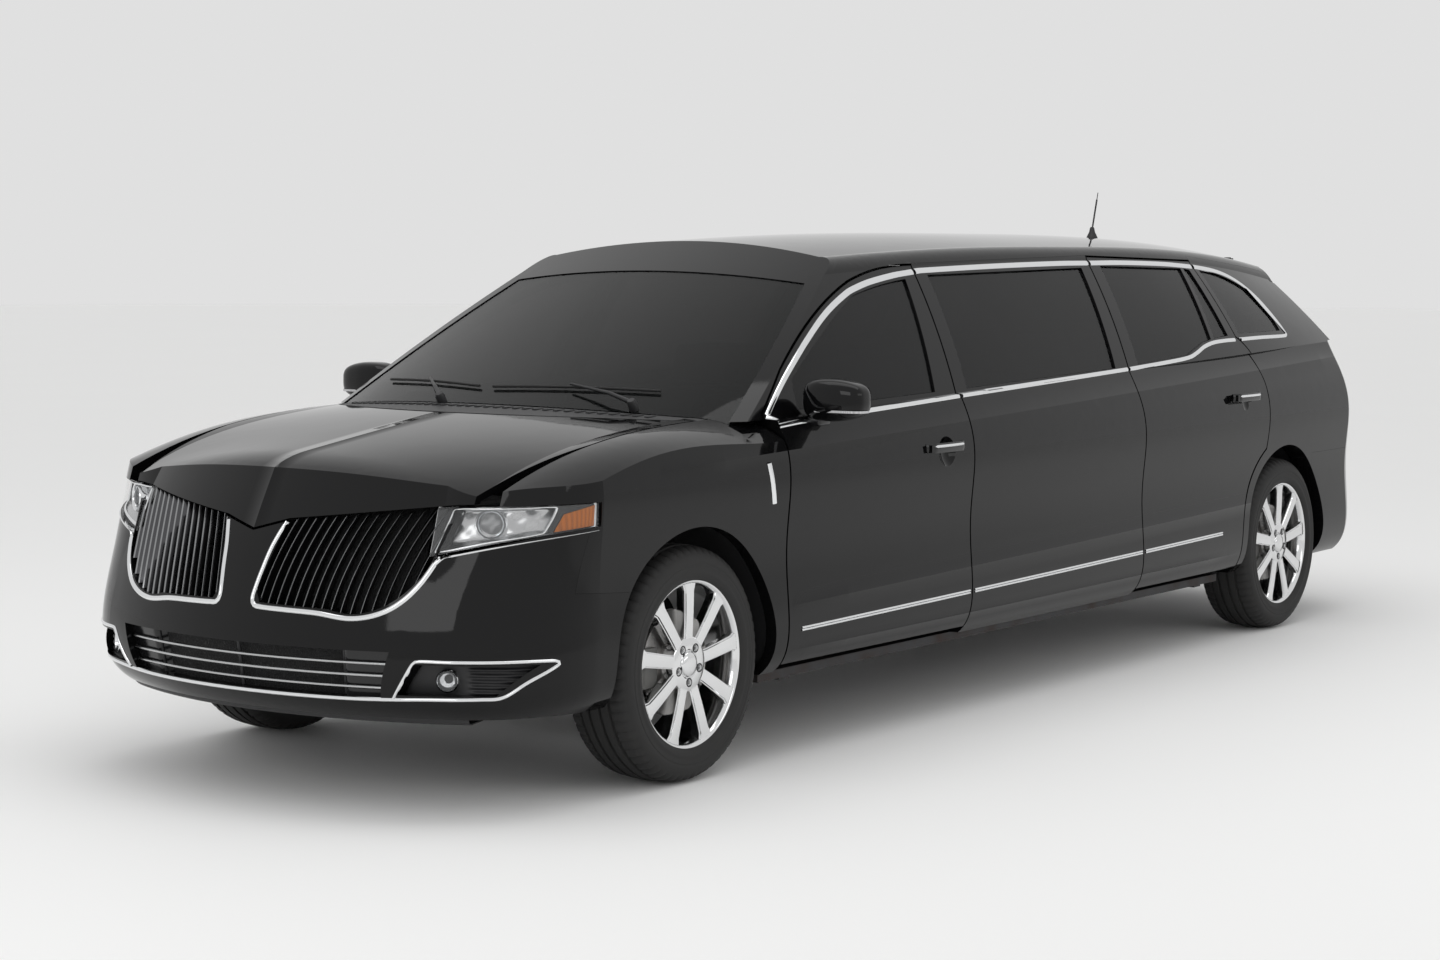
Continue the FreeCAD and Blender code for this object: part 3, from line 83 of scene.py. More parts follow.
# ---------------------------------------------------------------- materials' arithmetic
@dataclass(frozen=True)
class Signal:
    """A socket that carries a value, with Python's arithmetic on it."""

    tree: bpy.types.NodeTree
    socket: bpy.types.NodeSocket

    def maths(self, operation: str, first: Value, second: Value = 0.0) -> "Signal":
        """Adds one Math node.

        Args:
            operation: the node's operation.
            first: its first value or link.
            second: its second value or link.

        Returns:
            The node's output.
        """
        node = self.tree.nodes.new("ShaderNodeMath")
        node.operation = operation
        for slot, value in zip(node.inputs, (first, second)):
            feed(self.tree, slot, value)
        return Signal(self.tree, node.outputs[0])

    def __add__(self, other: Value) -> "Signal":
        """self + other."""
        return self.maths("ADD", self, other)

    __radd__ = __add__

    def __mul__(self, other: Value) -> "Signal":
        """self * other."""
        return self.maths("MULTIPLY", self, other)

    __rmul__ = __mul__

    def __sub__(self, other: Value) -> "Signal":
        """self - other."""
        return self.maths("SUBTRACT", self, other)

    def __rsub__(self, other: Value) -> "Signal":
        """other - self."""
        return self.maths("SUBTRACT", other, self)

    def __truediv__(self, other: Value) -> "Signal":
        """self / other."""
        return self.maths("DIVIDE", self, other)

    def __abs__(self) -> "Signal":
        """The size of self."""
        return self.maths("ABSOLUTE", self)

    def above(self, other: Value) -> "Signal":
        """1 where self is above other, else 0."""
        return self.maths("GREATER_THAN", self, other)

    def least(self, other: Value) -> "Signal":
        """The smaller of self and other."""
        return self.maths("MINIMUM", self, other)

    def most(self, other: Value) -> "Signal":
        """The larger of self and other."""
        return self.maths("MAXIMUM", self, other)


def feed(tree: bpy.types.NodeTree, slot: bpy.types.NodeSocket, value: Value) -> None:
    """Links or sets one socket.

    Args:
        tree: the material's nodes.
        slot: the socket that takes the value.
        value: a signal to link, or a number or colour to set.
    """
    if isinstance(value, Signal):
        tree.links.new(value.socket, slot)
    elif isinstance(value, (tuple, Vector)) and len(value) == 3 and slot.type == "RGBA":
        slot.default_value = (*value, 1.0)
    else:
        slot.default_value = value


class Recipe:
    """A material in the making: its nodes, and its one Principled shader."""

    def __init__(self, name: str) -> None:
        """Starts a material.

        Args:
            name: the material's name.
        """
        self.material = bpy.data.materials.new(name)
        self.material.use_nodes = True
        self.tree = self.material.node_tree
        self.shader = next(n for n in self.tree.nodes if n.type == "BSDF_PRINCIPLED")

    def node(self, kind: str, settings: dict | None = None, sockets: dict | None = None,
             out: int | str = 0) -> Signal:
        """Adds a node.

        Args:
            kind: the node's type.
            settings: its properties, or a ramp's stops, set before its sockets.
            sockets: values or signals by socket name or number.
            out: which output to return.

        Returns:
            The chosen output.
        """
        node = self.tree.nodes.new(kind)
        for key, value in (settings or {}).items():
            if key == "stops":
                while len(node.color_ramp.elements) < len(value):
                    node.color_ramp.elements.new(0.5)
                for stop, (place, shade) in zip(node.color_ramp.elements, value):
                    stop.position, stop.color = place, (*shade, 1.0)
            else:
                setattr(node, key, value)
        for key, value in (sockets or {}).items():
            feed(self.tree, node.inputs[key], value)
        return Signal(self.tree, node.outputs[out])

    def place(self) -> Signal:
        """The point on the piece, in the car's frame."""
        return self.node("ShaderNodeTexCoord", out="Object")

    def axes(self) -> tuple[Signal, Signal, Signal]:
        """The point's x, y and z."""
        split = self.node("ShaderNodeSeparateXYZ", {}, {0: self.place()})
        return tuple(Signal(self.tree, split.socket.node.outputs[i]) for i in range(3))

    def noise(self, scale: float, detail: float = 3.0) -> Signal:
        """A soft noise about 0.5: scale blotches to the metre, with some finer layers of detail."""
        sockets = {"Vector": self.place(), "Scale": scale, "Detail": detail}
        return self.node("ShaderNodeTexNoise", {}, sockets)

    def cells(self, scale: float, feature: str = "F1") -> Signal:
        """Distances in a pattern of cells, scale cells to the metre."""
        sockets = {"Vector": self.place(), "Scale": scale}
        return self.node("ShaderNodeTexVoronoi", {"feature": feature}, sockets)

    def blend(self, share: Value, first: Value, second: Value) -> Signal:
        """A colour between first and second."""
        return self.node("ShaderNodeMix", {"data_type": "RGBA"}, {0: share, 6: first, 7: second}, out=2)

    def worn(self, share: Value, colour: tuple, factor: float, extra: float = 0.0) -> Signal:
        """The colour, drifting by share to itself times factor plus extra."""
        return self.blend(share, colour, tuple(factor * c + extra for c in colour))

    def bump(self, height: Signal, depth: float, strength: float, below: Signal | None = None) -> Signal:
        """A bumped normal.

        Args:
            height: the height, of which 1 is one depth.
            depth: metres.
            strength: the Bump node's strength.
            below: a bump under this one.

        Returns:
            The normal.
        """
        sockets = {"Height": height, "Distance": depth, "Strength": strength}
        if below:
            sockets["Normal"] = below
        return self.node("ShaderNodeBump", {}, sockets)

    def set(self, **sockets: Value) -> None:
        """Sets or links the shader's sockets, with _ for a space in a name."""
        for key, value in sockets.items():
            feed(self.tree, self.shader.inputs[key.replace("_", " ")], value)


@dataclass(frozen=True)
class Finish:
    """What a surface is finished with: mix() says how, and slot is the record's usual slot for it."""

    name: str
    slot: ClassVar[str] = "black_plastic"

    def mix(self, recipe: Recipe) -> None:
        """Fills in the recipe."""
        raise NotImplementedError

    def material(self) -> bpy.types.Material:
        """The finish's material, made once."""
        return brew(self)


@functools.cache
def brew(finish: Finish) -> bpy.types.Material:
    """Makes a finish's material, once for all pieces that take it."""
    recipe = Recipe(finish.name)
    finish.mix(recipe)
    return recipe.material


@dataclass(frozen=True)
class Crease:
    """A pressed line along the body side, rising to the rear: where it starts and its height there."""

    z: float
    rise: float
    depth: float
    width: float
    start: float
    end: float


@dataclass(frozen=True)
class Lacquer(Finish):
    """Gloss paint under clear coat: faint orange peel, a film of dust low down, and pressed creases."""

    slot: ClassVar[str] = "paint"
    colour: tuple = (0.0028, 0.0028, 0.0031)
    creases: tuple = ()
    spine: bool = False
    gloss: float = 1.35

    def mix(self, recipe: Recipe) -> None:
        """Paint, with the creases as bumps."""
        x, y, z = recipe.axes()
        film = recipe.noise(2.2, 4.0) * (1.15 - z).most(0.0).least(1.0)
        colour = recipe.blend(film * 0.2, self.colour, (0.010, 0.0095, 0.009))
        peel = recipe.bump(recipe.noise(260.0, 1.0), 0.00006, 0.35)
        behind = AXLE_X - x
        for crease in self.creases:
            away = z - (behind * crease.rise + crease.z)
            fold = (1.0 - abs(away) / crease.width).most(0.0)
            fold = fold * fold
            begun = ((behind - crease.start) * 3.0).most(0.0).least(1.0)
            still = ((crease.end - behind) * 3.0).most(0.0).least(1.0)
            peel = recipe.bump(fold * begun * still, crease.depth, 1.0, peel)
        if self.spine:
            ridge = (1.0 - abs(y) / 0.055).most(0.0)
            peel = recipe.bump(ridge * ridge, 0.008, 1.0, peel)
        recipe.set(Base_Color=colour, Roughness=0.03 + film * 0.06, Normal=peel, IOR=self.gloss)


@dataclass(frozen=True)
class Metal(Finish):
    """Bare or plated metal with fine brushing and a little haze."""

    slot: ClassVar[str] = "chrome"
    colour: tuple = (0.86, 0.87, 0.88)
    roughness: float = 0.06
    haze: float = 0.05
    grain: float = 90.0
    depth: float = 0.00002

    def mix(self, recipe: Recipe) -> None:
        """Plate whose roughness drifts."""
        smear = recipe.noise(14.0, 5.0)
        recipe.set(Base_Color=recipe.worn(smear * 0.3, self.colour, 0.8),
                   Metallic=1.0, Roughness=self.roughness + smear * self.haze,
                   Normal=recipe.bump(recipe.noise(self.grain, 2.0), self.depth, 0.5))


@dataclass(frozen=True)
class Iron(Finish):
    """Cast or pressed steel under grimy black wax, with rust in places."""

    slot: ClassVar[str] = "iron"
    colour: tuple = (0.03, 0.03, 0.032)
    rust: float = 0.35

    def mix(self, recipe: Recipe) -> None:
        """Grime and rust over a rough casting."""
        patches = (recipe.noise(7.0, 6.0) * 3.0 - 1.35).most(0.0).least(1.0)
        grit = recipe.noise(300.0, 3.0)
        recipe.set(Base_Color=recipe.blend(patches * self.rust, self.colour, (0.10, 0.045, 0.02)),
                   Metallic=0.35, Roughness=0.55 + patches * 0.3, Normal=recipe.bump(grit, 0.0005, 0.6))


@dataclass(frozen=True)
class Plastic(Finish):
    """Moulded plastic with a spark-eroded grain."""

    colour: tuple = (0.012, 0.012, 0.013)
    roughness: float = 0.42
    grain: float = 900.0
    depth: float = 0.00012

    def mix(self, recipe: Recipe) -> None:
        """Grained plastic, paler where it has been rubbed."""
        rub = recipe.noise(5.0, 4.0)
        recipe.set(Base_Color=recipe.worn(rub * 0.5, self.colour, 1.7, 0.004),
                   Roughness=self.roughness + rub * 0.12,
                   Normal=recipe.bump(recipe.cells(self.grain), self.depth, 0.7))


@dataclass(frozen=True)
class Rubber(Finish):
    """Tyre rubber: dull black, with a bloom of dust and fine moulded rings."""

    slot: ClassVar[str] = "tyre_rubber"
    colour: tuple = (0.013, 0.013, 0.0135)

    def mix(self, recipe: Recipe) -> None:
        """Rubber with a grey bloom."""
        bloom = recipe.noise(9.0, 5.0)
        recipe.set(Base_Color=recipe.blend(bloom * 0.55, self.colour, (0.038, 0.037, 0.035)),
                   Roughness=0.62 + bloom * 0.2, Specular_IOR_Level=0.35,
                   Normal=recipe.bump(recipe.noise(700.0, 2.0), 0.0002, 0.5))


@dataclass(frozen=True)
class Glass(Finish):
    """Glass or clear plastic: how much shows through, its tint, and how dusty it is."""

    slot: ClassVar[str] = "lamp_glass"
    colour: tuple = (0.01, 0.011, 0.012)
    clear: float = 0.35
    roughness: float = 0.015
    shine: float = 0.22

    def mix(self, recipe: Recipe) -> None:
        """Tinted glass with a faint film."""
        film = recipe.noise(6.0, 4.0)
        recipe.set(Base_Color=recipe.worn(film * 0.2, self.colour, 1.6),
                   Roughness=self.roughness + film * 0.03, Alpha=(1.0 - self.clear) + film * 0.04,
                   Specular_IOR_Level=self.shine)


@dataclass(frozen=True)
class Lens(Finish):
    """A coloured lamp lens, ribbed inside, with a faint painted glow that stands in for light from the
    reflector behind it.
    """

    slot: ClassVar[str] = "red_lens"
    colour: tuple = (0.35, 0.004, 0.006)
    ribs: float = 140.0
    painted_glow: float = 0.12

    def mix(self, recipe: Recipe) -> None:
        """Ribs, with painted light and shade in stripes along them, and the painted glow."""
        x, y, _ = recipe.axes()
        wave = y.maths("SINE", (x + y) * self.ribs * math.tau)
        # painted light and shade: the colour darkens and lightens in stripes with the ribs' wave, and this
        # same colour is the painted glow
        deep = recipe.worn(wave * 0.25 + 0.25, self.colour, 0.35)
        recipe.set(Base_Color=deep, Roughness=0.1 + recipe.noise(20.0) * 0.05, IOR=1.3,
                   Normal=recipe.bump(wave, 0.0008, 0.4), Emission_Color=deep, Emission_Strength=self.painted_glow)


@dataclass(frozen=True)
class Leather(Finish):
    """Upholstery leather: pebbled grain, soft creases and wear."""

    slot: ClassVar[str] = "black_leather"
    colour: tuple = (0.022, 0.020, 0.019)

    def mix(self, recipe: Recipe) -> None:
        """Grain over broad creases."""
        wear = recipe.noise(4.0, 5.0)
        creases = recipe.bump(recipe.noise(28.0, 4.0), 0.0012, 0.5)
        recipe.set(Base_Color=recipe.worn(wear * 0.6, self.colour, 1.9, 0.006),
                   Roughness=0.38 + wear * 0.16, Specular_IOR_Level=0.45,
                   Normal=recipe.bump(recipe.cells(620.0, "DISTANCE_TO_EDGE"), 0.0004, 0.7, creases))


@dataclass(frozen=True)
class Carpet(Finish):
    """Looped carpet or felt lining."""

    slot: ClassVar[str] = "black_leather"
    colour: tuple = (0.016, 0.016, 0.017)
    loops: float = 420.0

    def mix(self, recipe: Recipe) -> None:
        """Loops and worn patches."""
        pile = recipe.cells(self.loops)
        worn = recipe.noise(3.0, 5.0)
        recipe.set(Base_Color=recipe.worn(pile * 0.6 + worn * 0.3, self.colour, 2.6, 0.008),
                   Roughness=0.92, Sheen_Weight=0.25, Specular_IOR_Level=0.15,
                   Normal=recipe.bump(pile + recipe.noise(900.0) * 0.5, 0.0022, 0.8))


@dataclass(frozen=True)
class Mesh(Finish):
    """A black grille insert: a fine honeycomb pressed into dark plastic, its sunk cells painted darker than
    the walls as painted shade.
    """

    colour: tuple = (0.006, 0.006, 0.0065)
    holes: float = 95.0

    def mix(self, recipe: Recipe) -> None:
        """Honeycomb cells sunk into the insert, with painted shade in the cells."""
        cell = recipe.cells(self.holes, "DISTANCE_TO_EDGE")
        hole_depth_and_shade = (cell * 14.0).least(1.0)
        # painted shade: the sunk cells take the insert's dark colour and the walls between them a paler one;
        # the same mask gives the bump's depth
        recipe.set(Base_Color=recipe.blend(hole_depth_and_shade, (0.02, 0.02, 0.021), self.colour),
                   Roughness=0.35 + hole_depth_and_shade * 0.4, Normal=recipe.bump(1.0 - hole_depth_and_shade, 0.004, 0.8))


@dataclass(frozen=True)
class Ground(Finish):
    """The studio's pale floor."""

    colour: tuple = (0.88, 0.88, 0.875)

    def mix(self, recipe: Recipe) -> None:
        """Pale, matt, with a faint mottle."""
        mottle = recipe.noise(0.6, 5.0)
        recipe.set(Base_Color=recipe.worn(mottle * 0.15, self.colour, 0.93),
                   Roughness=0.6 + mottle * 0.1, Specular_IOR_Level=0.2)


# ---------------------------------------------------------------- making shapes
def smoothstep(t: float) -> float:
    """0 to 1, with a soft start and end."""
    t = min(1.0, max(0.0, t))
    return t * t * (3.0 - 2.0 * t)


def along(points: Sequence[tuple], t: float) -> tuple:
    """The point a share t of the way along a run of points.

    Args:
        points: the run's corners, of any number of numbers each.
        t: from 0 at the first to 1 at the last, by length.

    Returns:
        The point.
    """
    lengths = [math.dist(p, q) for p, q in zip(points, points[1:])]
    left = t * sum(lengths)
    for (p, q), length in zip(zip(points, points[1:]), lengths):
        if left <= length or q is points[-1]:
            share = min(1.0, left / length) if length else 0.0
            return tuple(a + (b - a) * share for a, b in zip(p, q))
        left -= length
    return tuple(points[-1])


def flowing(points: Sequence[tuple], steps: int = 6) -> list[tuple]:
    """A smooth run of points through some corners.

    Args:
        points: the corners, of two or three numbers each.
        steps: points for each stretch between corners.

    Returns:
        The finer run.
    """
    spots = [Vector(p) for p in points]
    run = [tuple(spots[0])]
    for before, start, end, after in zip([spots[0], *spots], spots, spots[1:], [*spots[2:], spots[-1]]):
        reach = (end - start).length / 3.0
        first = start + (end - before).normalized() * reach
        second = end - (after - start).normalized() * reach
        run += [tuple(p) for p in interpolate_bezier(start, first, second, end, steps + 1)[1:]]
    return run


class Form:
    """A piece in the making: a bmesh in metres, in the car's frame."""

    def __init__(self) -> None:
        """Starts empty."""
        self.mesh = bmesh.new()

    def block(self, low: Vector, high: Vector, round_by: float = 0.0, segments: int = 2) -> None:
        """Adds a box, with its edges rounded if asked.

        Args:
            low: its lowest corner.
            high: its highest corner.
            round_by: the radius of its edges.
            segments: steps in the rounding.
        """
        size = high - low
        place = Matrix.Translation((low + high) / 2) @ Matrix.Diagonal((*size, 1.0))
        verts = bmesh.ops.create_cube(self.mesh, size=1.0, matrix=place)["verts"]
        if round_by:
            edges = list({e for v in verts for e in v.link_edges})
            bmesh.ops.bevel(self.mesh, geom=edges, offset=round_by, segments=segments, affect="EDGES",
                            profile=0.5, material=-1)

    def rod(self, start: Vector, end: Vector, radius: float, tip: float | None = None,
            sides: int = 20) -> None:
        """Adds a round bar from start to end.

        Args:
            start: the middle of one end.
            end: the middle of the other.
            radius: at the start.
            tip: radius at the end, if another.
            sides: how many flats it has.
        """
        line = end - start
        turn = line.to_track_quat("Z", "Y").to_matrix().to_4x4()
        bmesh.ops.create_cone(self.mesh, cap_ends=True, segments=sides, radius1=radius,
                              radius2=radius if tip is None else tip, depth=line.length,
                              matrix=Matrix.Translation((start + end) / 2) @ turn)

    def lathe(self, profile: Sequence[tuple], centre: Vector, axis: Vector, steps: int,
              closed: bool = False) -> None:
        """Turns a profile of (radius, along the axis) corners about an axis.

        Args:
            profile: the corners.
            centre: a point on the axis, at along 0.
            axis: the axis, of length 1.
            steps: flats round the turn.
            closed: whether the profile's last corner joins its first.
        """
        side = axis.orthogonal().normalized()
        before = set(self.mesh.verts)
        ring = [self.mesh.verts.new(centre + side * r + axis * a) for r, a in profile]
        pairs = list(zip(ring, ring[1:])) + ([(ring[-1], ring[0])] if closed else [])
        edges = [self.mesh.edges.new(pair) for pair in pairs]
        bmesh.ops.spin(self.mesh, geom=ring + edges, cent=centre, axis=axis, angle=math.tau, steps=steps,
                       use_merge=True)
        new = [v for v in self.mesh.verts if v not in before]
        bmesh.ops.remove_doubles(self.mesh, verts=new, dist=1e-5)

    def sheet(self, columns: int, rows: int, place: Callable[[float, float], Vector]) -> list:
        """Adds a grid whose points are put where place(u, v) says, u and v going from 0 to 1.

        Args:
            columns: cells along u.
            rows: cells along v.
            place: gives each point.

        Returns:
            The new vertices.
        """
        verts = bmesh.ops.create_grid(self.mesh, x_segments=columns, y_segments=rows, size=0.5)["verts"]
        for vert in verts:
            vert.co = place(min(1.0, max(0.0, vert.co.x + 0.5)), min(1.0, max(0.0, vert.co.y + 0.5)))
        return verts

    def thicken(self, depth: float) -> None:
        """Turns an open sheet into a closed wall, grown against its faces' normals."""
        bmesh.ops.recalc_face_normals(self.mesh, faces=self.mesh.faces)
        bmesh.ops.solidify(self.mesh, geom=list(self.mesh.faces), thickness=depth)

    def both_sides(self) -> None:
        """Adds the mirror image of all of it across the car's middle, turned right side out."""
        done = bmesh.ops.duplicate(self.mesh, geom=list(self.mesh.faces))["geom"]
        new = [g for g in done if isinstance(g, bmesh.types.BMVert)]
        bmesh.ops.transform(self.mesh, matrix=ACROSS_MIDDLE, verts=new)
        bmesh.ops.reverse_faces(self.mesh, faces=[g for g in done if isinstance(g, bmesh.types.BMFace)])

    def piece(self, name: str, body: str, finish: Finish, sharp: float = 32.0, merge: bool = False,
              slot: str = "") -> bpy.types.Object:
        """Makes the finished object, which rides on a body.

        Args:
            name: the object's name.
            body: the CAD body that it rides on.
            finish: what it is finished with.
            sharp: edges that turn by more degrees than this stay sharp.
            merge: whether doubles are merged first.
            slot: the record's material slot, where it isn't the finish's usual one.

        Returns:
            The object.
        """
        if merge:
            bmesh.ops.remove_doubles(self.mesh, verts=self.mesh.verts, dist=2e-5)
        bmesh.ops.recalc_face_normals(self.mesh, faces=self.mesh.faces)
        data = bpy.data.meshes.new(name)
        self.mesh.to_mesh(data)
        self.mesh.free()
        data.materials.append(finish.material())
        data.shade_smooth()
        data.set_sharp_from_angle(angle=math.radians(sharp))
        return mount(name, data, body, slot or finish.slot)

    def pair(self, name: str, finish: Finish, body: str = "body", sharp: float = 50.0, edge: float = 0.0,
             slot: str = "") -> tuple[bpy.types.Object, bpy.types.Object]:
        """Makes the finished object and its mirror image; {} in a name stands for the side.

        Args:
            name: the objects' names, led by the side where no {} says where it goes.
            finish: what they are finished with.
            body: the bodies that they ride on.
            sharp: edges that turn by more degrees than this stay sharp.
            edge: the width of a live bevel on the sharp edges, if any.
            slot: the record's material slot, where it isn't the finish's usual one.

        Returns:
            The left object and the right one.
        """
        label = name if "{}" in name else "{}_" + name
        left = self.piece(label.format("left"), body.format("left"), finish, sharp, slot=slot)
        right = twin_of(left, label.format("right"), body.format("right"), slot or finish.slot)
        for piece in (left, right):
            if edge:
                round_off(piece, edge)
        return left, right


def mount(name: str, data: bpy.types.Mesh, body: str, slot: str) -> bpy.types.Object:
    """Makes an object of a mesh, which rides on a body.

    Args:
        name: the object's name.
        data: its mesh.
        body: the body.
        slot: not used.

    Returns:
        The object.
    """
    piece = bpy.data.objects.new(name, data)
    bpy.context.scene.collection.objects.link(piece)
    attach(piece, body)
    return piece


def twin_of(piece: bpy.types.Object, name: str, body: str, slot: str,
            place: Matrix = ACROSS_MIDDLE) -> bpy.types.Object:
    """A copy of a finished piece's mesh on the car's other side, or where place puts it.

    Args:
        piece: the finished piece.
        name: the new object's name.
        body: the body that it rides on.
        slot: the record's material slot.
        place: the move; a mirror image is turned right side out.

    Returns:
        The copy.
    """
    data = piece.data.copy()
    data.transform(place)
    if place.determinant() < 0:
        data.flip_normals()
    return mount(name, data, body, slot)


def round_off(piece: bpy.types.Object, width: float) -> None:
    """Rounds a piece's sharp edges with a live bevel."""
    bevel = piece.modifiers.new("edges", "BEVEL")
    bevel.width, bevel.segments, bevel.limit_method = width, 3, "ANGLE"
    bevel.angle_limit = math.radians(35.0)
    bevel.harden_normals = True


class Skin:
    """The outer face of some CAD nodes, found by looking at them from outside."""

    clear_of_side = 1.3
    clear_of_roof = 2.2
    clear_of_nose = -1.4
    clear_of_tail = 6.4

    def __init__(self, *nodes: str) -> None:
        """Gathers the nodes' triangles.

        Args:
            nodes: the CAD nodes.
        """
        verts, faces = [], []
        for node in nodes:
            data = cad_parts[node].data
            base = len(verts)
            verts += [v.co.copy() for v in data.vertices]
            faces += [tuple(base + i for i in p.vertices) for p in data.polygons]
        self.tree = BVHTree.FromPolygons(verts, faces)

    def look(self, start: Vector, way: Vector, lift: float) -> Vector | None:
        """The first point that a look from start meets, lifted off the face."""
        spot, normal, _, _ = self.tree.ray_cast(start, way)
        if spot is None:
            return None
        if normal.dot(way) > 0:
            normal = -normal
        return spot + normal * lift

    def side(self, behind: float, z: float, lift: float = 0.0) -> Vector | None:
        """The left side's point at a station and height."""
        return self.look(at(behind, self.clear_of_side, z), INWARDS, lift)

    def top(self, behind: float, y: float, lift: float = 0.0) -> Vector | None:
        """The upper face's point at a station and half width."""
        return self.look(at(behind, y, self.clear_of_roof), DOWN, lift)

    def front(self, y: float, z: float, lift: float = 0.0) -> Vector | None:
        """The nose's point at a half width and height."""
        return self.look(at(self.clear_of_nose, y, z), BACKWARDS, lift)

    def rear(self, y: float, z: float, lift: float = 0.0) -> Vector | None:
        """The tail's point at a half width and height."""
        return self.look(at(self.clear_of_tail, y, z), AHEAD, lift)


# ---------------------------------------------------------------- studio
@dataclass
class Studio:
    """The floor, the camera and the lights; none of it belongs to the car."""

    eye: tuple = (9.38124, 6.00149, 1.67949)
    yaw: float = 3.75256668
    pitch: float = -0.08459421
    roll: float = 0.00302314
    focal: float = 71.7715
    sensor: float = 36.0
    floor_radius: float = 60.0
    backdrop: float = 0.746
    ambient: float = 0.84

    def build(self) -> None:
        """Makes all of it."""
        self.camera()
        self.floor()
        self.lights()
        bpy.context.scene.view_settings.view_transform = "Standard"

    def camera(self) -> None:
        """A camera at the eye, turned by its yaw, pitch and roll."""
        ahead = Vector((math.cos(self.pitch) * math.cos(self.yaw), math.cos(self.pitch) * math.sin(self.yaw),
                        math.sin(self.pitch)))
        right = ahead.cross(UP).normalized()
        up = right.cross(ahead)
        tilt = math.cos(self.roll) * right + math.sin(self.roll) * up
        top = math.cos(self.roll) * up - math.sin(self.roll) * right
        data = bpy.data.cameras.new("camera")
        data.lens, data.sensor_width = self.focal, self.sensor
        data.clip_start, data.clip_end = 0.1, 400.0
        camera = bpy.data.objects.new("camera", data)
        turn = Matrix((tilt, top, -ahead)).transposed().to_4x4()
        camera.matrix_world = Matrix.Translation(self.eye) @ turn
        bpy.context.scene.collection.objects.link(camera)
        bpy.context.scene.camera = camera

    def floor(self) -> None:
        """A wide pale disc on the ground."""
        form = Form()
        bmesh.ops.create_circle(form.mesh, cap_ends=True, segments=96, radius=self.floor_radius)
        data = bpy.data.meshes.new("studio_floor")
        form.mesh.to_mesh(data)
        form.mesh.free()
        data.materials.append(Ground("studio_floor").material())
        floor = bpy.data.objects.new("studio_floor", data)
        bpy.context.scene.collection.objects.link(floor)

    def lights(self) -> None:
        """A pale world, a broad soft box overhead, and two softer ones at the sides."""
        world = bpy.data.worlds.new("studio")
        bpy.context.scene.world = world
        world.use_nodes = True
        tree = world.node_tree
        back = next(n for n in tree.nodes if n.type == "BACKGROUND")
        rays = tree.nodes.new("ShaderNodeLightPath")
        straight, glossy, through = (Signal(tree, rays.outputs[f"Is {kind} Ray"])
                                     for kind in ("Camera", "Glossy", "Transmission"))
        seen = straight.most(glossy).most(through)
        back.inputs["Color"].default_value = (1.0, 1.0, 1.0, 1.0)
        feed(tree, back.inputs["Strength"], seen * (self.backdrop - self.ambient) + self.ambient)
        self.softbox("key", Vector((1.2, 0.6, 6.2)), Vector((0.3, 0.0, 0.6)), (7.0, 3.4), 100.0)
        self.softbox("nose_fill", Vector((8.5, 1.5, 3.0)), Vector((2.5, 0.0, 0.7)), (3.0, 2.0), 36.0)
        self.softbox("side_fill", Vector((1.0, 8.5, 3.4)), Vector((0.0, 0.9, 0.7)), (7.0, 1.6), 40.0)

    def softbox(self, name: str, spot: Vector, aim: Vector, size: tuple, watts: float) -> None:
        """Adds an area light.

        Args:
            name: its name.
            spot: where it is.
            aim: what it points at.
            size: its two sides.
            watts: its power.
        """
        data = bpy.data.lights.new(name, "AREA")
        data.shape, data.size, data.size_y, data.energy = "RECTANGLE", size[0], size[1], watts
        lamp = bpy.data.objects.new(name, data)
        turn = (spot - aim).to_track_quat("Z", "Y").to_matrix().to_4x4()
        lamp.matrix_world = Matrix.Translation(spot) @ turn
        bpy.context.scene.collection.objects.link(lamp)


# ---------------------------------------------------------------- finishes of this car
PAINT = Lacquer("black_lacquer")
SIDE_PAINT = Lacquer("black_lacquer_sides", creases=(
    Crease(0.4915, 0.0203, 0.010, 0.050, 0.50, 4.6),
    Crease(0.985, 0.0330, 0.009, 0.060, -0.2, 5.2),
    Crease(0.352, 0.0050, 0.006, 0.026, 0.50, 3.9)))
HOOD_PAINT = Lacquer("black_lacquer_hood", spine=True)
CHROME = Metal("bright_chrome")
SATIN = Metal("satin_chrome", (0.55, 0.555, 0.56), 0.2, 0.1)
WHEEL_CHROME = Metal("wheel_chrome", (0.80, 0.805, 0.81), 0.09, 0.06)
DARK_CHROME = Metal("dark_chrome", (0.10, 0.10, 0.105), 0.22, 0.12)
STEEL = Metal("bare_steel", (0.42, 0.41, 0.40), 0.32, 0.2, 220.0, 0.0001)
TINT = Glass("tinted_glass", (0.004, 0.0042, 0.0045), 0.20)
SCREEN_TINT = Glass("screen_glass", (0.006, 0.0065, 0.0065), 0.30)
CLEAR = Glass("clear_lens", (0.55, 0.56, 0.57), 0.93, 0.01, 0.5)
MIRROR_GLASS = Metal("mirror_glass", (0.75, 0.78, 0.80), 0.01, 0.01)
RED = Lens("red_lens")
AMBER = Lens("amber_lens", (0.36, 0.095, 0.0), 120.0, 0.12)
BALL_GLASS = Glass("projector_glass", (0.10, 0.105, 0.11), 0.45, 0.01, 0.6)
EDGE_CHROME = Metal("blade_edge_chrome", (0.34, 0.345, 0.35), 0.16, 0.08)
WHITE_LENS = Lens("white_lens", (0.55, 0.55, 0.56), 220.0, 0.1)
RUBBER = Rubber("tyre_rubber")
SEAL = Plastic("seal_rubber", (0.008, 0.008, 0.008), 0.7, 500.0)
PLASTIC = Plastic("moulded_plastic")
GLOSS_PLASTIC = Plastic("gloss_plastic", (0.006, 0.006, 0.0065), 0.12, 1500.0, 0.00002)
INSERT = Mesh("grille_mesh")
WAXED = Iron("waxed_steel")
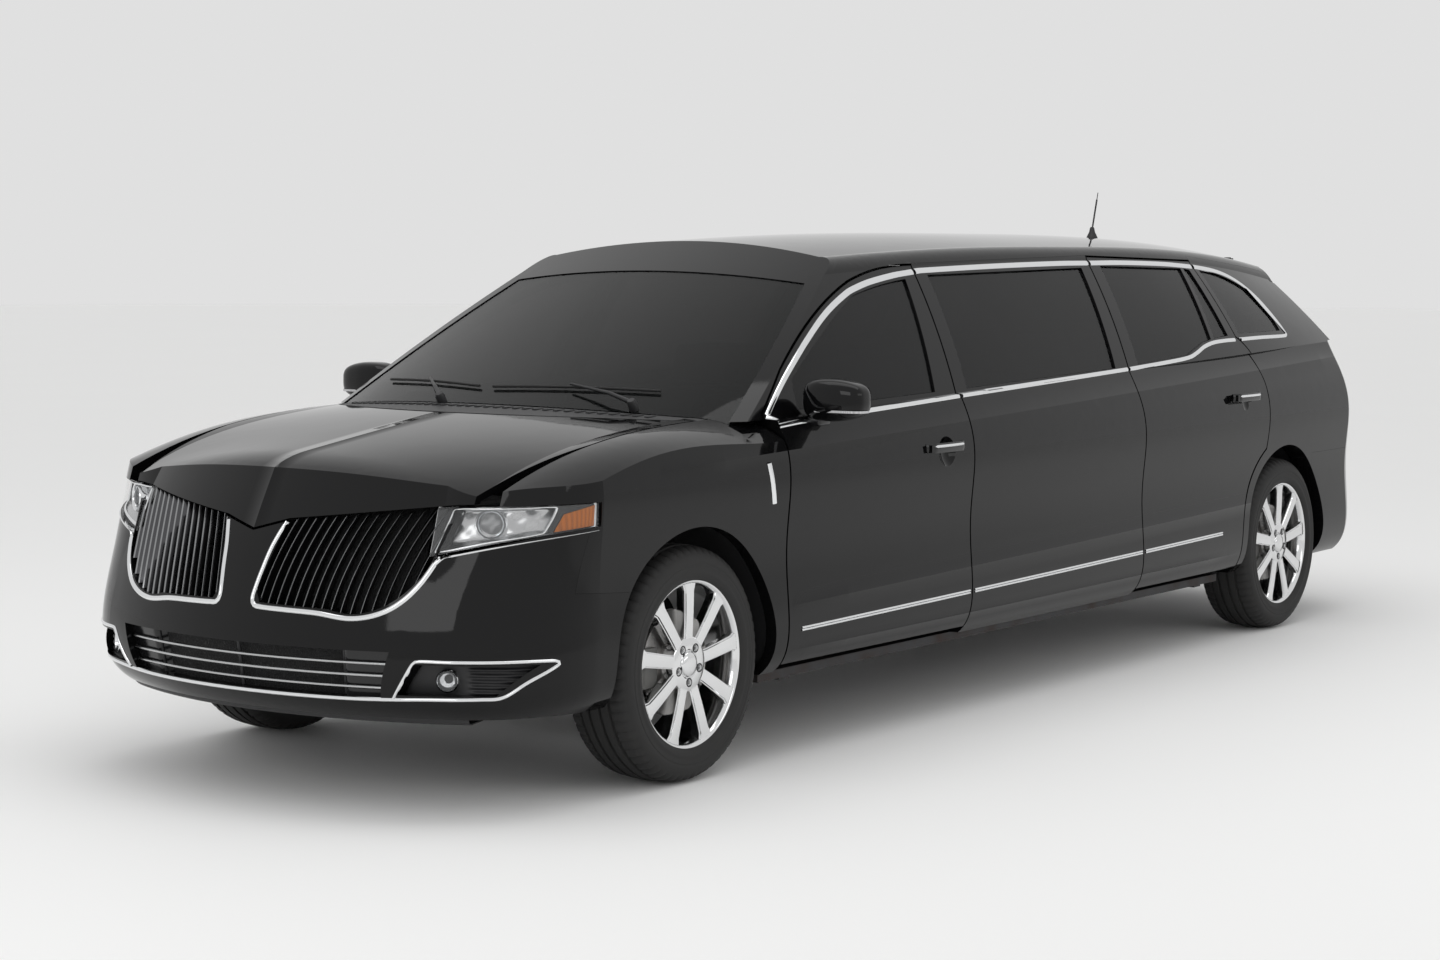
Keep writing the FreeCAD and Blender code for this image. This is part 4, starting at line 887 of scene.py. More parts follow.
CASTING = Iron("bare_casting", (0.16, 0.16, 0.155), 0.12)
LEATHER = Leather("seat_leather")
CARPET = Carpet("floor_carpet")
DASH_SKIN = Plastic("dashboard_skin", (0.016, 0.0155, 0.015), 0.5, 420.0, 0.0003)
BLANK_PLATE = Plastic("blank_plate", (0.42, 0.42, 0.41), 0.35, 300.0, 0.00008)
MAT = Carpet("floor_mat", (0.010, 0.010, 0.0105), 260.0)
LINING = Carpet("roof_lining", (0.10, 0.098, 0.093), 900.0)


@dataclass
class Band:
    """A raised strip that follows a run of points over a surface.

    locate(p, q, lift) gives the surface's point, p and q being the run's own two numbers.
    """

    points: Sequence[tuple]
    width: float
    locate: Callable[[float, float, float], Vector | None]
    rise: float = 0.004
    sink: float = 0.0015
    step: float = 0.018
    lobes: int = 1
    look_ahead: float = 0.008

    def lay(self, form: Form) -> None:
        """Adds the strip to a form.

        Args:
            form: the piece that it belongs to.
        """
        run = flowing(self.points)
        length = sum(math.dist(p, q) for p, q in zip(run, run[1:]))
        columns = max(4, round(length / self.step))
        rows = 6 * self.lobes
        last = {}

        def place(u: float, v: float) -> Vector:
            """One point of the strip: u along it and v across it."""
            p, q = along(run, u)
            before = along(run, max(0.0, u - self.look_ahead))
            after = along(run, min(1.0, u + self.look_ahead))
            way = Vector((after[0] - before[0], after[1] - before[1])).normalized()
            across = (v - 0.5) * self.width
            crown = abs(math.sin(math.pi * v * self.lobes)) ** 0.6
            lift = crown * (self.rise + self.sink) - self.sink
            spot = self.locate(p - way.y * across, q + way.x * across, lift)
            if spot is None or (v in last and (spot - last[v]).length > 6.0 * self.step):
                spot = last.get(v, spot)
            if spot is not None:
                last[v] = spot
            return spot if spot is not None else LOST

        loose = form.sheet(columns, rows, place)
        lost = [v for v in loose if v.co.z < 0.0]
        bmesh.ops.delete(form.mesh, geom=lost, context="VERTS")


@dataclass
class WindowSurround:
    """The bright frame round the side windows, in one part for each panel that it crosses."""

    upper: Sequence[tuple] = ((0.452, 1.085), (0.50, 1.122), (0.58, 1.178), (0.67, 1.235), (0.85, 1.336),
                              (1.03, 1.423), (1.21, 1.488), (1.30, 1.509), (1.39, 1.525), (1.56, 1.546),
                              (1.74, 1.5605), (2.28, 1.573), (2.8, 1.580), (3.3, 1.580), (3.7, 1.572),
                              (4.0, 1.558), (4.2, 1.540), (4.33, 1.515), (4.43, 1.478), (4.51, 1.425),
                              (4.565, 1.36), (4.605, 1.295), (4.618, 1.262))
    lower: Sequence[tuple] = ((0.452, 1.078), (0.62, 1.088), (1.14, 1.107), (1.64, 1.125), (2.4, 1.150),
                              (3.0, 1.170), (3.4, 1.188), (3.54, 1.198), (3.62, 1.214), (3.70, 1.234),
                              (3.80, 1.248), (3.92, 1.253), (4.3, 1.256), (4.60, 1.256), (4.618, 1.262))
    upper_width: float = 0.022
    lower_width: float = 0.017
    rise: float = 0.0035
    # CAD node, body, the upper run's start and end, the lower run's start and end.
    cuts: Sequence[tuple] = (
        ("front_{}_door", "front_{}_door", 0.448, 1.688, 0.448, 1.622),
        ("centre_side_panels", "body", 1.706, 3.020, 1.646, 2.963),
        ("rear_{}_door", "rear_{}_door", 3.040, 3.960, 2.983, 4.022),
        ("quarter_panels", "body", 3.986, 4.64, 4.052, 4.64))

    def clip(self, points: Sequence[tuple], start: float, end: float) -> list[tuple]:
        """The part of a run between two stations.

        Args:
            points: the run's (station, height) corners.
            start: the first station.
            end: the last station.

        Returns:
            The part's corners.
        """
        run = []
        for (a, z0), (b, z1) in zip(points, points[1:]):
            for edge in (start, end):
                if a < edge < b:
                    run.append((edge, z0 + (z1 - z0) * (edge - a) / (b - a)))
            if start <= b <= end:
                run.append((b, z1))
        if start <= points[0][0] <= end:
            run.append(points[0])
        return sorted(set(run))

    def build(self) -> None:
        """Makes the parts on both sides."""
        for node, body, start, end, low_start, low_end in self.cuts:
            skin = Skin(node.format("left"))
            form = Form()
            Band(self.clip(self.upper, start, end), self.upper_width, skin.side, self.rise).lay(form)
            Band(self.clip(self.lower, low_start, low_end), self.lower_width, skin.side, self.rise).lay(form)
            form.pair(node.replace("_{}", "") + "_window_chrome", CHROME, body, 60.0)


@dataclass
class SideMoulding:
    """The thin double strip low on the doors, in one part for each panel."""

    start: tuple = (0.56, 0.4205)
    end: tuple = (3.70, 0.4675)
    width: float = 0.017
    # CAD node, body, start and end.
    cuts: Sequence[tuple] = (("front_{}_door", "front_{}_door", 0.555, 1.618),
                             ("centre_side_panels", "body", 1.650, 2.959),
                             ("rear_{}_door", "rear_{}_door", 2.987, 3.70))

    def build(self) -> None:
        """Makes the parts on both sides."""
        slope = (self.end[1] - self.start[1]) / (self.end[0] - self.start[0])
        for node, body, first, last in self.cuts:
            form = Form()
            stations = (first, (first + last) / 2, last)
            run = [(b, self.start[1] + (b - self.start[0]) * slope) for b in stations]
            Band(run, self.width, Skin(node.format("left")).side, 0.003, lobes=2, step=0.03).lay(form)
            form.pair(node.replace("_{}", "") + "_moulding", CHROME, body, 60.0)


@dataclass
class DoorHandle:
    """A strap handle that covers the door's grip, with a bright upper strip and a key plate."""

    end: str
    station: float
    height: float
    half_length: float = 0.125
    depth: float = 0.036

    def build(self) -> None:
        """Makes the left handle and its twin."""
        skin = Skin(f"{self.end}_left_door")
        outer = max(skin.side(self.station + d, self.height + 0.009).y for d in (-0.05, 0.0, 0.05))
        grip, strip = Form(), Form()

        def strap(lift: float, half: float, low: float, high: float) -> Callable[[float, float], Vector]:
            """A bowed strap's outer face.

            Args:
                lift: how far it stands off the door.
                half: half its length.
                low: its lower edge, from the handle's height.
                high: its upper edge.

            Returns:
                What gives its points.
            """
            def place(u: float, v: float) -> Vector:
                """u along the strap and v up it."""
                s = 2.0 * u - 1.0
                bow = 0.0045 * (1.0 - s * s)
                droop = 0.020 * max(0.0, abs(s) - 0.80) / 0.20
                return at(self.station + s * half, outer + lift + bow - droop - 0.004 * (2 * v - 1) ** 2,
                          self.height + low + (high - low) * v)
            return place

        grip.sheet(24, 8, strap(0.002, self.half_length, -0.007, 0.027))
        grip.thicken(self.depth)
        strip.sheet(24, 4, strap(0.0048, self.half_length * 0.93, 0.011, 0.021))
        body = self.end + "_{}_door"
        grip.pair(self.end + "_{}_handle", GLOSS_PLASTIC, body, 32.0, 0.0035)
        strip.pair(self.end + "_{}_handle_strip", CHROME, body, 32.0)


@dataclass
class FenderBar:
    """A plain upright bright bar low behind the front wheel arch, on the fender."""

    low: tuple = (0.395, 0.839)
    high: tuple = (0.366, 0.968)
    width: float = 0.022

    def build(self) -> None:
        """Makes the bar on both sides."""
        form = Form()
        Band([self.low, self.high], self.width, Skin("fenders").side, 0.007, step=0.01).lay(form)
        form.pair("fender_bar", CHROME, sharp=60.0)


# ---------------------------------------------------------------- nose
CLEAR_OF_NOSE = 1.5                  # a distance from the nose's pivot that is outside the car


def heading(turn: float) -> Vector:
    """The level way at an angle from straight ahead."""
    return Vector((math.cos(turn), math.sin(turn), 0.0))


@dataclass(frozen=True)
class Arc:
    """A circle in plan: its middle's station and half width, and its radius."""

    behind: float
    y: float
    radius: float

    def reach(self, pivot: float, turn: float, inset: float) -> float:
        """How far the circle, drawn in by inset, lies from the pivot's station at an angle."""
        along_way = (pivot - self.behind) * math.cos(turn) + self.y * math.sin(turn)
        off = (pivot - self.behind) ** 2 + self.y ** 2
        return along_way + math.sqrt(max(0.0, along_way ** 2 - off + (self.radius - inset) ** 2))

    def station(self, y: float, inset: float) -> float:
        """The circle's front at a half width, drawn in by inset."""
        return self.behind - math.sqrt(max(0.0, (self.radius - inset) ** 2 - (y - self.y) ** 2))


@dataclass
class Nose:
    """Where things lie on the nose, by angle from straight ahead about a point in the engine bay."""

    pivot_behind: float = -0.2
    nodes: Sequence[str] = ("front_bumper", "fenders", "hood")
    middle: Arc = Arc(0.552, 0.0, 1.602)
    corner: Arc = Arc(-0.4687, 0.456, 0.4841)
    corner_start: float = 0.655
    tip_behind: float = -1.05
    foot: float = 0.286
    profile_step: float = 0.012
    profile_end: float = -0.8
    side_insets: Sequence[tuple] = ((0.284, 0.062), (0.345, 0.016), (0.565, 0.008), (0.82, 0.002),
                                    (1.0, 0.008))

    def __post_init__(self) -> None:
        """Gathers the nose's skin, and how far it leans back at each height."""
        self.skin = Skin(*self.nodes)
        self.profile = []
        for z in (self.foot + self.profile_step * i for i in range(52)):
            spot = self.skin.front(0.03, z)
            if spot is not None and AXLE_X - spot.x < self.profile_end:
                self.profile.append((z, AXLE_X - spot.x - self.tip_behind))

    def inset(self, table: Sequence[tuple], z: float) -> float:
        """How far in the form lies at a height, from a table of heights and insets."""
        for (z0, n0), (z1, n1) in zip(table, table[1:]):
            if z <= z1 or z1 == table[-1][0]:
                return n0 + (n1 - n0) * (z - z0) / (z1 - z0)
        return table[-1][1]

    def angle(self, behind: float, y: float) -> float:
        """A point's angle in plan, in radians."""
        return math.atan2(y, self.pivot_behind - behind)

    def spot(self, turn: float, z: float, lift: float = 0.0) -> Vector | None:
        """The nose's point at an angle and height."""
        way = heading(turn)
        return self.skin.look(at(self.pivot_behind, 0.0, z) + way * CLEAR_OF_NOSE, -way, lift)

    def facing(self, y: float, z: float) -> tuple[float, float]:
        """(angle, height) of a point seen from the front at a half width."""
        front = self.inset(self.profile, z)
        if y <= self.corner_start - 0.41 * front:
            return self.angle(self.middle.station(y, front), y), z
        share = smoothstep((y - self.corner_start) / 0.28)
        side = self.inset(self.side_insets, z)
        return self.angle(self.corner.station(y, front + (side - front) * share), y), z

    def form(self, turn: float, z: float, depth: float) -> Vector:
        """A point at a depth behind the nose's smooth form, where an opening has no skin.

        Args:
            turn: the angle in plan from straight ahead.
            z: the height.
            depth: how far behind the skin it lies.

        Returns:
            The point.
        """
        front = self.inset(self.profile, z)
        size = abs(turn)
        edge = self.angle(-0.91 + 0.91 * front, self.corner_start - 0.41 * front)
        if size <= edge:
            reach = self.middle.reach(self.pivot_behind, size, front + depth)
        else:
            share = smoothstep((size - edge) / 0.9)
            side = self.inset(self.side_insets, z)
            reach = self.corner.reach(self.pivot_behind, size, front + (side - front) * share + depth)
        return at(self.pivot_behind - reach * math.cos(turn), reach * math.sin(turn), z)

    def turn(self, y: float, z: float) -> float:
        """The angle of a point on either side, seen from the front."""
        return math.copysign(self.facing(abs(y), z)[0], y)


@dataclass
class UpperGrille:
    """One half of the split grille: thin upright blades in a bright frame, over a dark screen."""

    blades: int = 17
    inner: float = 0.122
    outer: float = 0.632
    step: float = 0.004
    frame_width: float = 0.017
    lip: Sequence[tuple] = ((0.119, 0.838), (0.104, 0.80), (0.091, 0.76), (0.079, 0.70), (0.069, 0.645),
                            (0.066, 0.615), (0.075, 0.598), (0.095, 0.594), (0.20, 0.591), (0.30, 0.588),
                            (0.37, 0.5800), (0.405, 0.578), (0.44, 0.5805), (0.475, 0.588), (0.51, 0.601),
                            (0.54, 0.619), (0.57, 0.647), (0.594, 0.680), (0.608, 0.708), (0.620, 0.738))

    def bottom(self, y: float) -> float:
        """The opening's lower edge at a half width: a straight run, then an arc up to the lamp."""
        if y < 0.34:
            return 0.606 - 0.006 * max(0.0, y - 0.095) / 0.245
        return 0.8056 - math.sqrt(max(0.0, 0.2156 ** 2 - (y - 0.4049) ** 2))

    def top(self, y: float) -> float:
        """The opening's upper edge, under the bonnet, at a half width."""
        return 0.842 + 0.055 * (y - 0.125) / 0.525 if y > 0.125 else 0.80 + 0.042 * y / 0.125

    def leaning(self, middle: float, z: float) -> float:
        """A blade's half width at a height: it leans outwards, and bows."""
        return middle + 0.26 * (z - 0.72) - 0.010 * (1.0 - ((z - 0.74) / 0.14) ** 2)

    def holds(self, y: float, z: float) -> bool:
        """Whether a point is inside the opening, seen from the front."""
        outside = 0.610 + 0.030 * (z - 0.745) / 0.185
        inside = 0.078 + 0.24 * max(0.0, z - 0.62)
        return inside < y < outside and self.bottom(min(y, 0.609)) < z < self.top(y)

    def build(self, nose: Nose) -> None:
        """Makes both halves; they stand for the plain grille."""
        blades, edges, surround, screen = (Form() for _ in range(4))
        for i in range(self.blades):
            middle = self.inner + (self.outer - self.inner) * i / (self.blades - 1)
            heights = (0.58 + self.step * k for k in range(82))
            inside = [z for z in heights if self.holds(self.leaning(middle, z), z)]
            if len(inside) > 6:
                low, high = inside[0] - self.step, inside[-1] + self.step
                self.blade(blades, nose, middle, low, high, 0.0038, 0.010, 0.034)
                self.blade(edges, nose, middle, low, high, 0.0015, 0.0070, 0.005)

        def backing(u: float, v: float) -> Vector:
            """The screen behind the blades."""
            y = 0.085 + 0.56 * u
            low, high = self.bottom(y) - 0.012, self.top(y) + 0.014
            return nose.form(nose.turn(y, 0.7), low + (high - low) * v, 0.052)

        screen.sheet(24, 12, backing)
        Band([nose.facing(*p) for p in self.lip], self.frame_width, nose.spot, 0.006,
             step=0.012).lay(surround)
        left, _ = blades.pair("grille_blades", DARK_CHROME)
        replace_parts(left, "upper_grille")
        edges.pair("grille_blade_edges", EDGE_CHROME)
        screen.pair("grille_screen", INSERT, slot="chrome")
        surround.pair("grille_frame", CHROME)

    def blade(self, form: Form, nose: Nose, middle: float, low: float, high: float, half: float, front: float,
              deep: float) -> None:
        """Adds one upright blade that follows the nose.

        Args:
            form: what it is added to.
            nose: the nose's places.
            middle: its half width at mid height.
            low: its foot's height.
            high: its top's height.
            half: half its thickness.
            front: how far its leading edge lies behind the skin.
            deep: how deep it is.
        """

        def place(u: float, v: float) -> Vector:
            """Round the blade's section with v, and up it with u."""
            z = low + (high - low) * u
            turn = nose.turn(self.leaning(middle, z), z)
            corner = round(v * 3)
            side = (-1, -0.55, 0.55, 1)[corner] * half
            back = (deep, 0.0, 0.0, deep)[corner]
            return nose.form(turn, z, front + back) + Vector((0.0, side, 0.0))

        form.sheet(16, 3, place)


@dataclass
class LowerGrille:
    """The wide lower intake: a gloss surround, a sunken mesh in the middle and three bright bars."""

    half: float = 0.515
    low: float = 0.352
    high: float = 0.487
    mesh_half: float = 0.39
    bars: Sequence[float] = (0.378, 0.414, 0.450)

    def build(self, nose: Nose) -> None:
        """Makes the intake; it stands for the plain one."""
        surround, screen, bars, uprights = (Form() for _ in range(4))

        def panel(depth_in: float, depth_out: float) -> Callable[[float, float], Vector]:
            """A sheet across the intake.

            Args:
                depth_in: its depth at the middle mesh.
                depth_out: its depth outboard of that.

            Returns:
                What gives its points.
            """
            def place(u: float, v: float) -> Vector:
                """u across and v up."""
                z = self.low - 0.006 + (self.high - self.low + 0.012) * v
                y = (2 * u - 1) * (self.half + 0.045 * v)
                inside = smoothstep((self.mesh_half + 0.01 * v - abs(y)) / 0.02)
                return nose.form(nose.turn(y, z), z, depth_out + (depth_in - depth_out) * inside)
            return place

        surround.sheet(120, 6, panel(0.058, 0.022))
        screen.sheet(90, 6, panel(0.050, 0.060))
        for z in self.bars:
            reach = self.half - 0.012 + 0.3 * (z - self.low)

            def bar(u: float, v: float, z: float = z, reach: float = reach) -> Vector:
                """Round a bar's front with v."""
                y = (2 * u - 1) * reach
                return nose.form(nose.turn(y, z), z + 0.005 * math.cos(math.pi * v),
                                 0.016 - 0.007 * math.sin(math.pi * v))

            bars.sheet(60, 5, bar)
        for y in (-self.mesh_half, 0.0, self.mesh_half):
            foot, head = (nose.form(nose.turn(y, 0.42), z, 0.034) for z in (self.low, self.high))
            uprights.rod(foot, head, 0.006, sides=12)
        panels = surround.piece("lower_grille_surround", "body", GLOSS_PLASTIC, 50.0)
        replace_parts(panels, "lower_grille")
        screen.piece("lower_grille_mesh", "body", INSERT)
        bars.piece("lower_grille_bars", "body", SATIN, 60.0)
        uprights.piece("lower_grille_uprights", "body", PLASTIC)


@dataclass
class FogPod:
    """A bright-framed pod at each lower corner: ribbed insert and a round lamp."""

    rim: Sequence[tuple] = ((0.0, 0.342), (0.2, 0.342), (0.40, 0.343), (0.52, 0.346), (0.64, 0.351),
                            (0.76, 0.353), (0.806, 0.357), (0.850, 0.399), (0.894, 0.444), (0.897, 0.454),
                            (0.884, 0.4595), (0.80, 0.462), (0.70, 0.4635), (0.615, 0.464), (0.603, 0.457),
                            (0.574, 0.414), (0.543, 0.364), (0.536, 0.352))
    lamp: tuple = (0.695, 0.405)
    lamp_radius: float = 0.034

    def build(self, nose: Nose) -> None:
        """Makes the pods on both sides; they stand for the plain lamps."""
        bright, insert, bezel, bulb = (Form() for _ in range(4))
        Band([nose.facing(*p) for p in self.rim], 0.012, nose.spot, 0.005, step=0.012).lay(bright)

        def floor(u: float, v: float) -> Vector:
            """The pod's floor, ribbed outboard of the lamp."""
            z = 0.355 + 0.107 * v
            inner, outer = 0.540 + 0.066 * v, 0.806 + 0.090 * v
            y = inner + (outer - inner) * u
            ribs = 0.003 * math.sin(v * 40.0) * smoothstep((y - 0.74) / 0.02)
            return nose.form(nose.turn(y, z), z, 0.045 - 0.030 * smoothstep((u - 0.55) / 0.45) + ribs)

        insert.sheet(48, 60, floor)
        turn = nose.turn(*self.lamp)
        hub = nose.form(turn, self.lamp[1], 0.034)
        way = heading(turn * 0.7)
        r = self.lamp_radius
        bezel.lathe([(r, -0.02), (r, 0.012), (r * 0.88, 0.016), (r * 0.80, 0.010), (r * 0.66, -0.004),
                     (r * 0.2, -0.016), (0.0, -0.017)], hub, way, 40)
        bulb.lathe([(r * 0.82, 0.009), (r * 0.6, 0.013), (r * 0.3, 0.0155), (0.0, 0.016)], hub, way, 40)
        bright.pair("fog_frame", CHROME)
        left, _ = insert.pair("fog_insert", PLASTIC)
        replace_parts(left, "fog_lamps")
        bezel.pair("fog_reflector", CHROME)
        bulb.pair("fog_glass", CLEAR)


@dataclass
class Headlamp:
    """A wedge headlamp: clear cover, bowl with a projector, amber marker at its tip, bright strip below."""

    inner: tuple = (-0.880, 0.628)
    tip: tuple = (-0.497, 0.936)
    sections: int = 40
    projector: tuple = (0.36, 0.047)
    length: float = 0.44

    def low(self, u: float) -> float:
        """The opening's lower edge: u from the grille to the tip."""
        return 0.757 + 0.079 * u + 0.010 * math.sin(math.pi * u)

    def high(self, u: float) -> float:
        """The opening's upper edge."""
        return 0.8955 + 0.0095 * u + 0.001 * math.sin(math.pi * u)

    def cover_point(self, nose: Nose, u: float, v: float, depth: float) -> Vector:
        """A point of the lamp's form.

        Args:
            nose: the nose's places.
            u: from the grille, 0, to the tip, 1.
            v: from the lower edge, 0, to the upper, 1.
            depth: how far behind the form it lies.

        Returns:
            The point.
        """
        first, last = nose.angle(*self.inner), nose.angle(*self.tip)
        lean = 0.035 * (v - 0.2) * (1.0 - u)
        turn = first + (last - first) * u + lean
        z = self.low(u) + (self.high(u) - self.low(u)) * v
        way = heading(turn)
        spot = self.form.look(at(nose.pivot_behind, 0.0, z) + way * CLEAR_OF_NOSE, -way, 0.0)
        return (spot if spot is not None else nose.form(turn, z, 0.006)) - way * depth

    def build(self, nose: Nose) -> None:
        """Makes the lamps on both sides; they stand for the plain ones."""
        self.form = Skin("headlamps")
        cover, bowl, ring, lens, amber, strip, trim, smoke, cap = (Form() for _ in range(9))
        cover.sheet(self.sections, 10, lambda u, v: self.cover_point(nose, u, v, -0.003))

        def hollow(u: float, v: float) -> Vector:
            """The bowl: deepest behind the projector, shallow at its rim."""
            rim = min(1.0, 9.0 * min(u, 1 - u, 1.4 * v * 0.5, 1.4 * (1 - v) * 0.5))
            deep = 0.008 + 0.045 * smoothstep(rim) * (1.0 - 0.6 * u)
            facet = 0.0035 * math.sin(34.0 * u) * math.sin(9.0 * v) * rim
            return self.cover_point(nose, u, v, deep + facet)

        bowl.sheet(72, 24, hollow)

        def lid(u: float, v: float) -> Vector:
            """The painted cap that closes the lamp's top, v inwards from its edge."""
            outer, inner = (self.cover_point(nose, 0.01 + 0.60 * u, 1.0, depth) for depth in (0.003, 0.085))
            spot = outer.lerp(inner, v)
            return self.form.look(spot + UP * 0.3, DOWN, 0.0006) or spot

        cap.sheet(24, 8, lid)
        middle = self.cover_point(nose, self.projector[0], 0.52, 0.036)
        turn = nose.angle(*self.inner) * 0.66
        way = Vector((math.cos(turn), math.sin(turn), 0.04)).normalized()
        r = self.projector[1]
        ring.lathe([(r, -0.03), (r, 0.006), (r * 0.93, 0.012), (r * 0.84, 0.008), (r * 0.80, -0.004),
                    (r * 0.74, 0.002), (r * 0.70, -0.012), (r * 0.70, -0.03)], middle, way, 48)
        lens.lathe([(r * 0.70, -0.006), (r * 0.60, 0.004), (r * 0.42, 0.012), (r * 0.2, 0.016), (0.0, 0.017)],
                   middle, way, 40)
        amber.sheet(14, 8, lambda u, v: self.cover_point(
            nose, 0.715 + 0.055 * v + (0.262 - 0.05 * v) * u, 0.06 + (0.60 + 0.26 * u) * v, 0.0045))
        smoke.sheet(20, 8, lambda u, v: self.cover_point(
            nose, 0.675 + 0.06 * v + (0.31 - 0.06 * v) * u, 0.03 + 0.94 * v, 0.009))
        smoke.sheet(6, 8, lambda u, v: self.cover_point(
            nose, 0.004 + (0.016 + 0.095 * v) * u, 0.02 + 0.96 * v, 0.006))
        lip = [self.cover_point(nose, u, 0.0, 0.0) for u in (i / 24 for i in range(25))]
        low_run = [(math.atan2(p.y, p.x - (AXLE_X - nose.pivot_behind)), p.z - 0.007) for p in lip]
        Band([nose.facing(0.620, 0.738)] + low_run[2:], 0.013, nose.spot, 0.0045, step=0.012).lay(strip)
        corners = [(0.030, 0.07), (0.062, 0.40), (0.100, 0.80), (0.118, 0.945), (0.30, 0.955), (0.52, 0.955),
                   (0.725, 0.945), (0.728, 0.88), (0.70, 0.50), (0.664, 0.12), (0.655, 0.06), (0.35, 0.05),
                   (0.10, 0.05), (0.030, 0.07)]
        border = [(self.length * u, self.low(u) + (self.high(u) - self.low(u)) * v) for u, v in corners]

        def inside(p: float, q: float, lift: float) -> Vector:
            """A point of the bright border inside the cover."""
            u = p / self.length
            return self.cover_point(nose, u, (q - self.low(u)) / (self.high(u) - self.low(u)), 0.007 - lift)

        Band(border, 0.0075, inside, 0.004, step=0.008).lay(trim)
        cover.pair("headlamp_cover", CLEAR)
        left, _ = bowl.pair("headlamp_bowl", SATIN)
        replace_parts(left, "headlamps")
        ring.pair("headlamp_ring", CHROME)
        lens.pair("headlamp_lens", BALL_GLASS)
        amber.pair("headlamp_marker", AMBER, slot="lamp_glass")
        smoke.pair("headlamp_smoke", GLOSS_PLASTIC)
        cap.pair("headlamp_cap", PAINT)
        strip.pair("headlamp_strip", CHROME)
        trim.pair("headlamp_border", CHROME)


@dataclass
class FrontLip:
    """The lip under the front bumper and the tray behind it."""

    half: float = 0.60
    rear: float = -0.46

    def build(self, nose: Nose) -> None:
        """Makes the lip and its tray."""
        lip = Form()

        def tray(u: float, v: float) -> Vector:
            """Across with u; down round the lip and back along the tray with v."""
            turn = (2 * u - 1) * 0.86
            edge = nose.form(turn, 0.300, 0.034)
            drop = smoothstep(v / 0.22)
            spot = Vector((edge.x, edge.y, 0.304 - 0.040 * drop))
            back = smoothstep((v - 0.10) / 0.9)
            goal = at(self.rear, edge.y * 0.86, 0.264)
            return spot + Vector(((goal.x - spot.x) * back, (goal.y - spot.y) * back, 0.0))

        lip.sheet(60, 26, tray)
        lip.thicken(0.003)
        lip.piece("front_lip", "body", PLASTIC, 50.0)


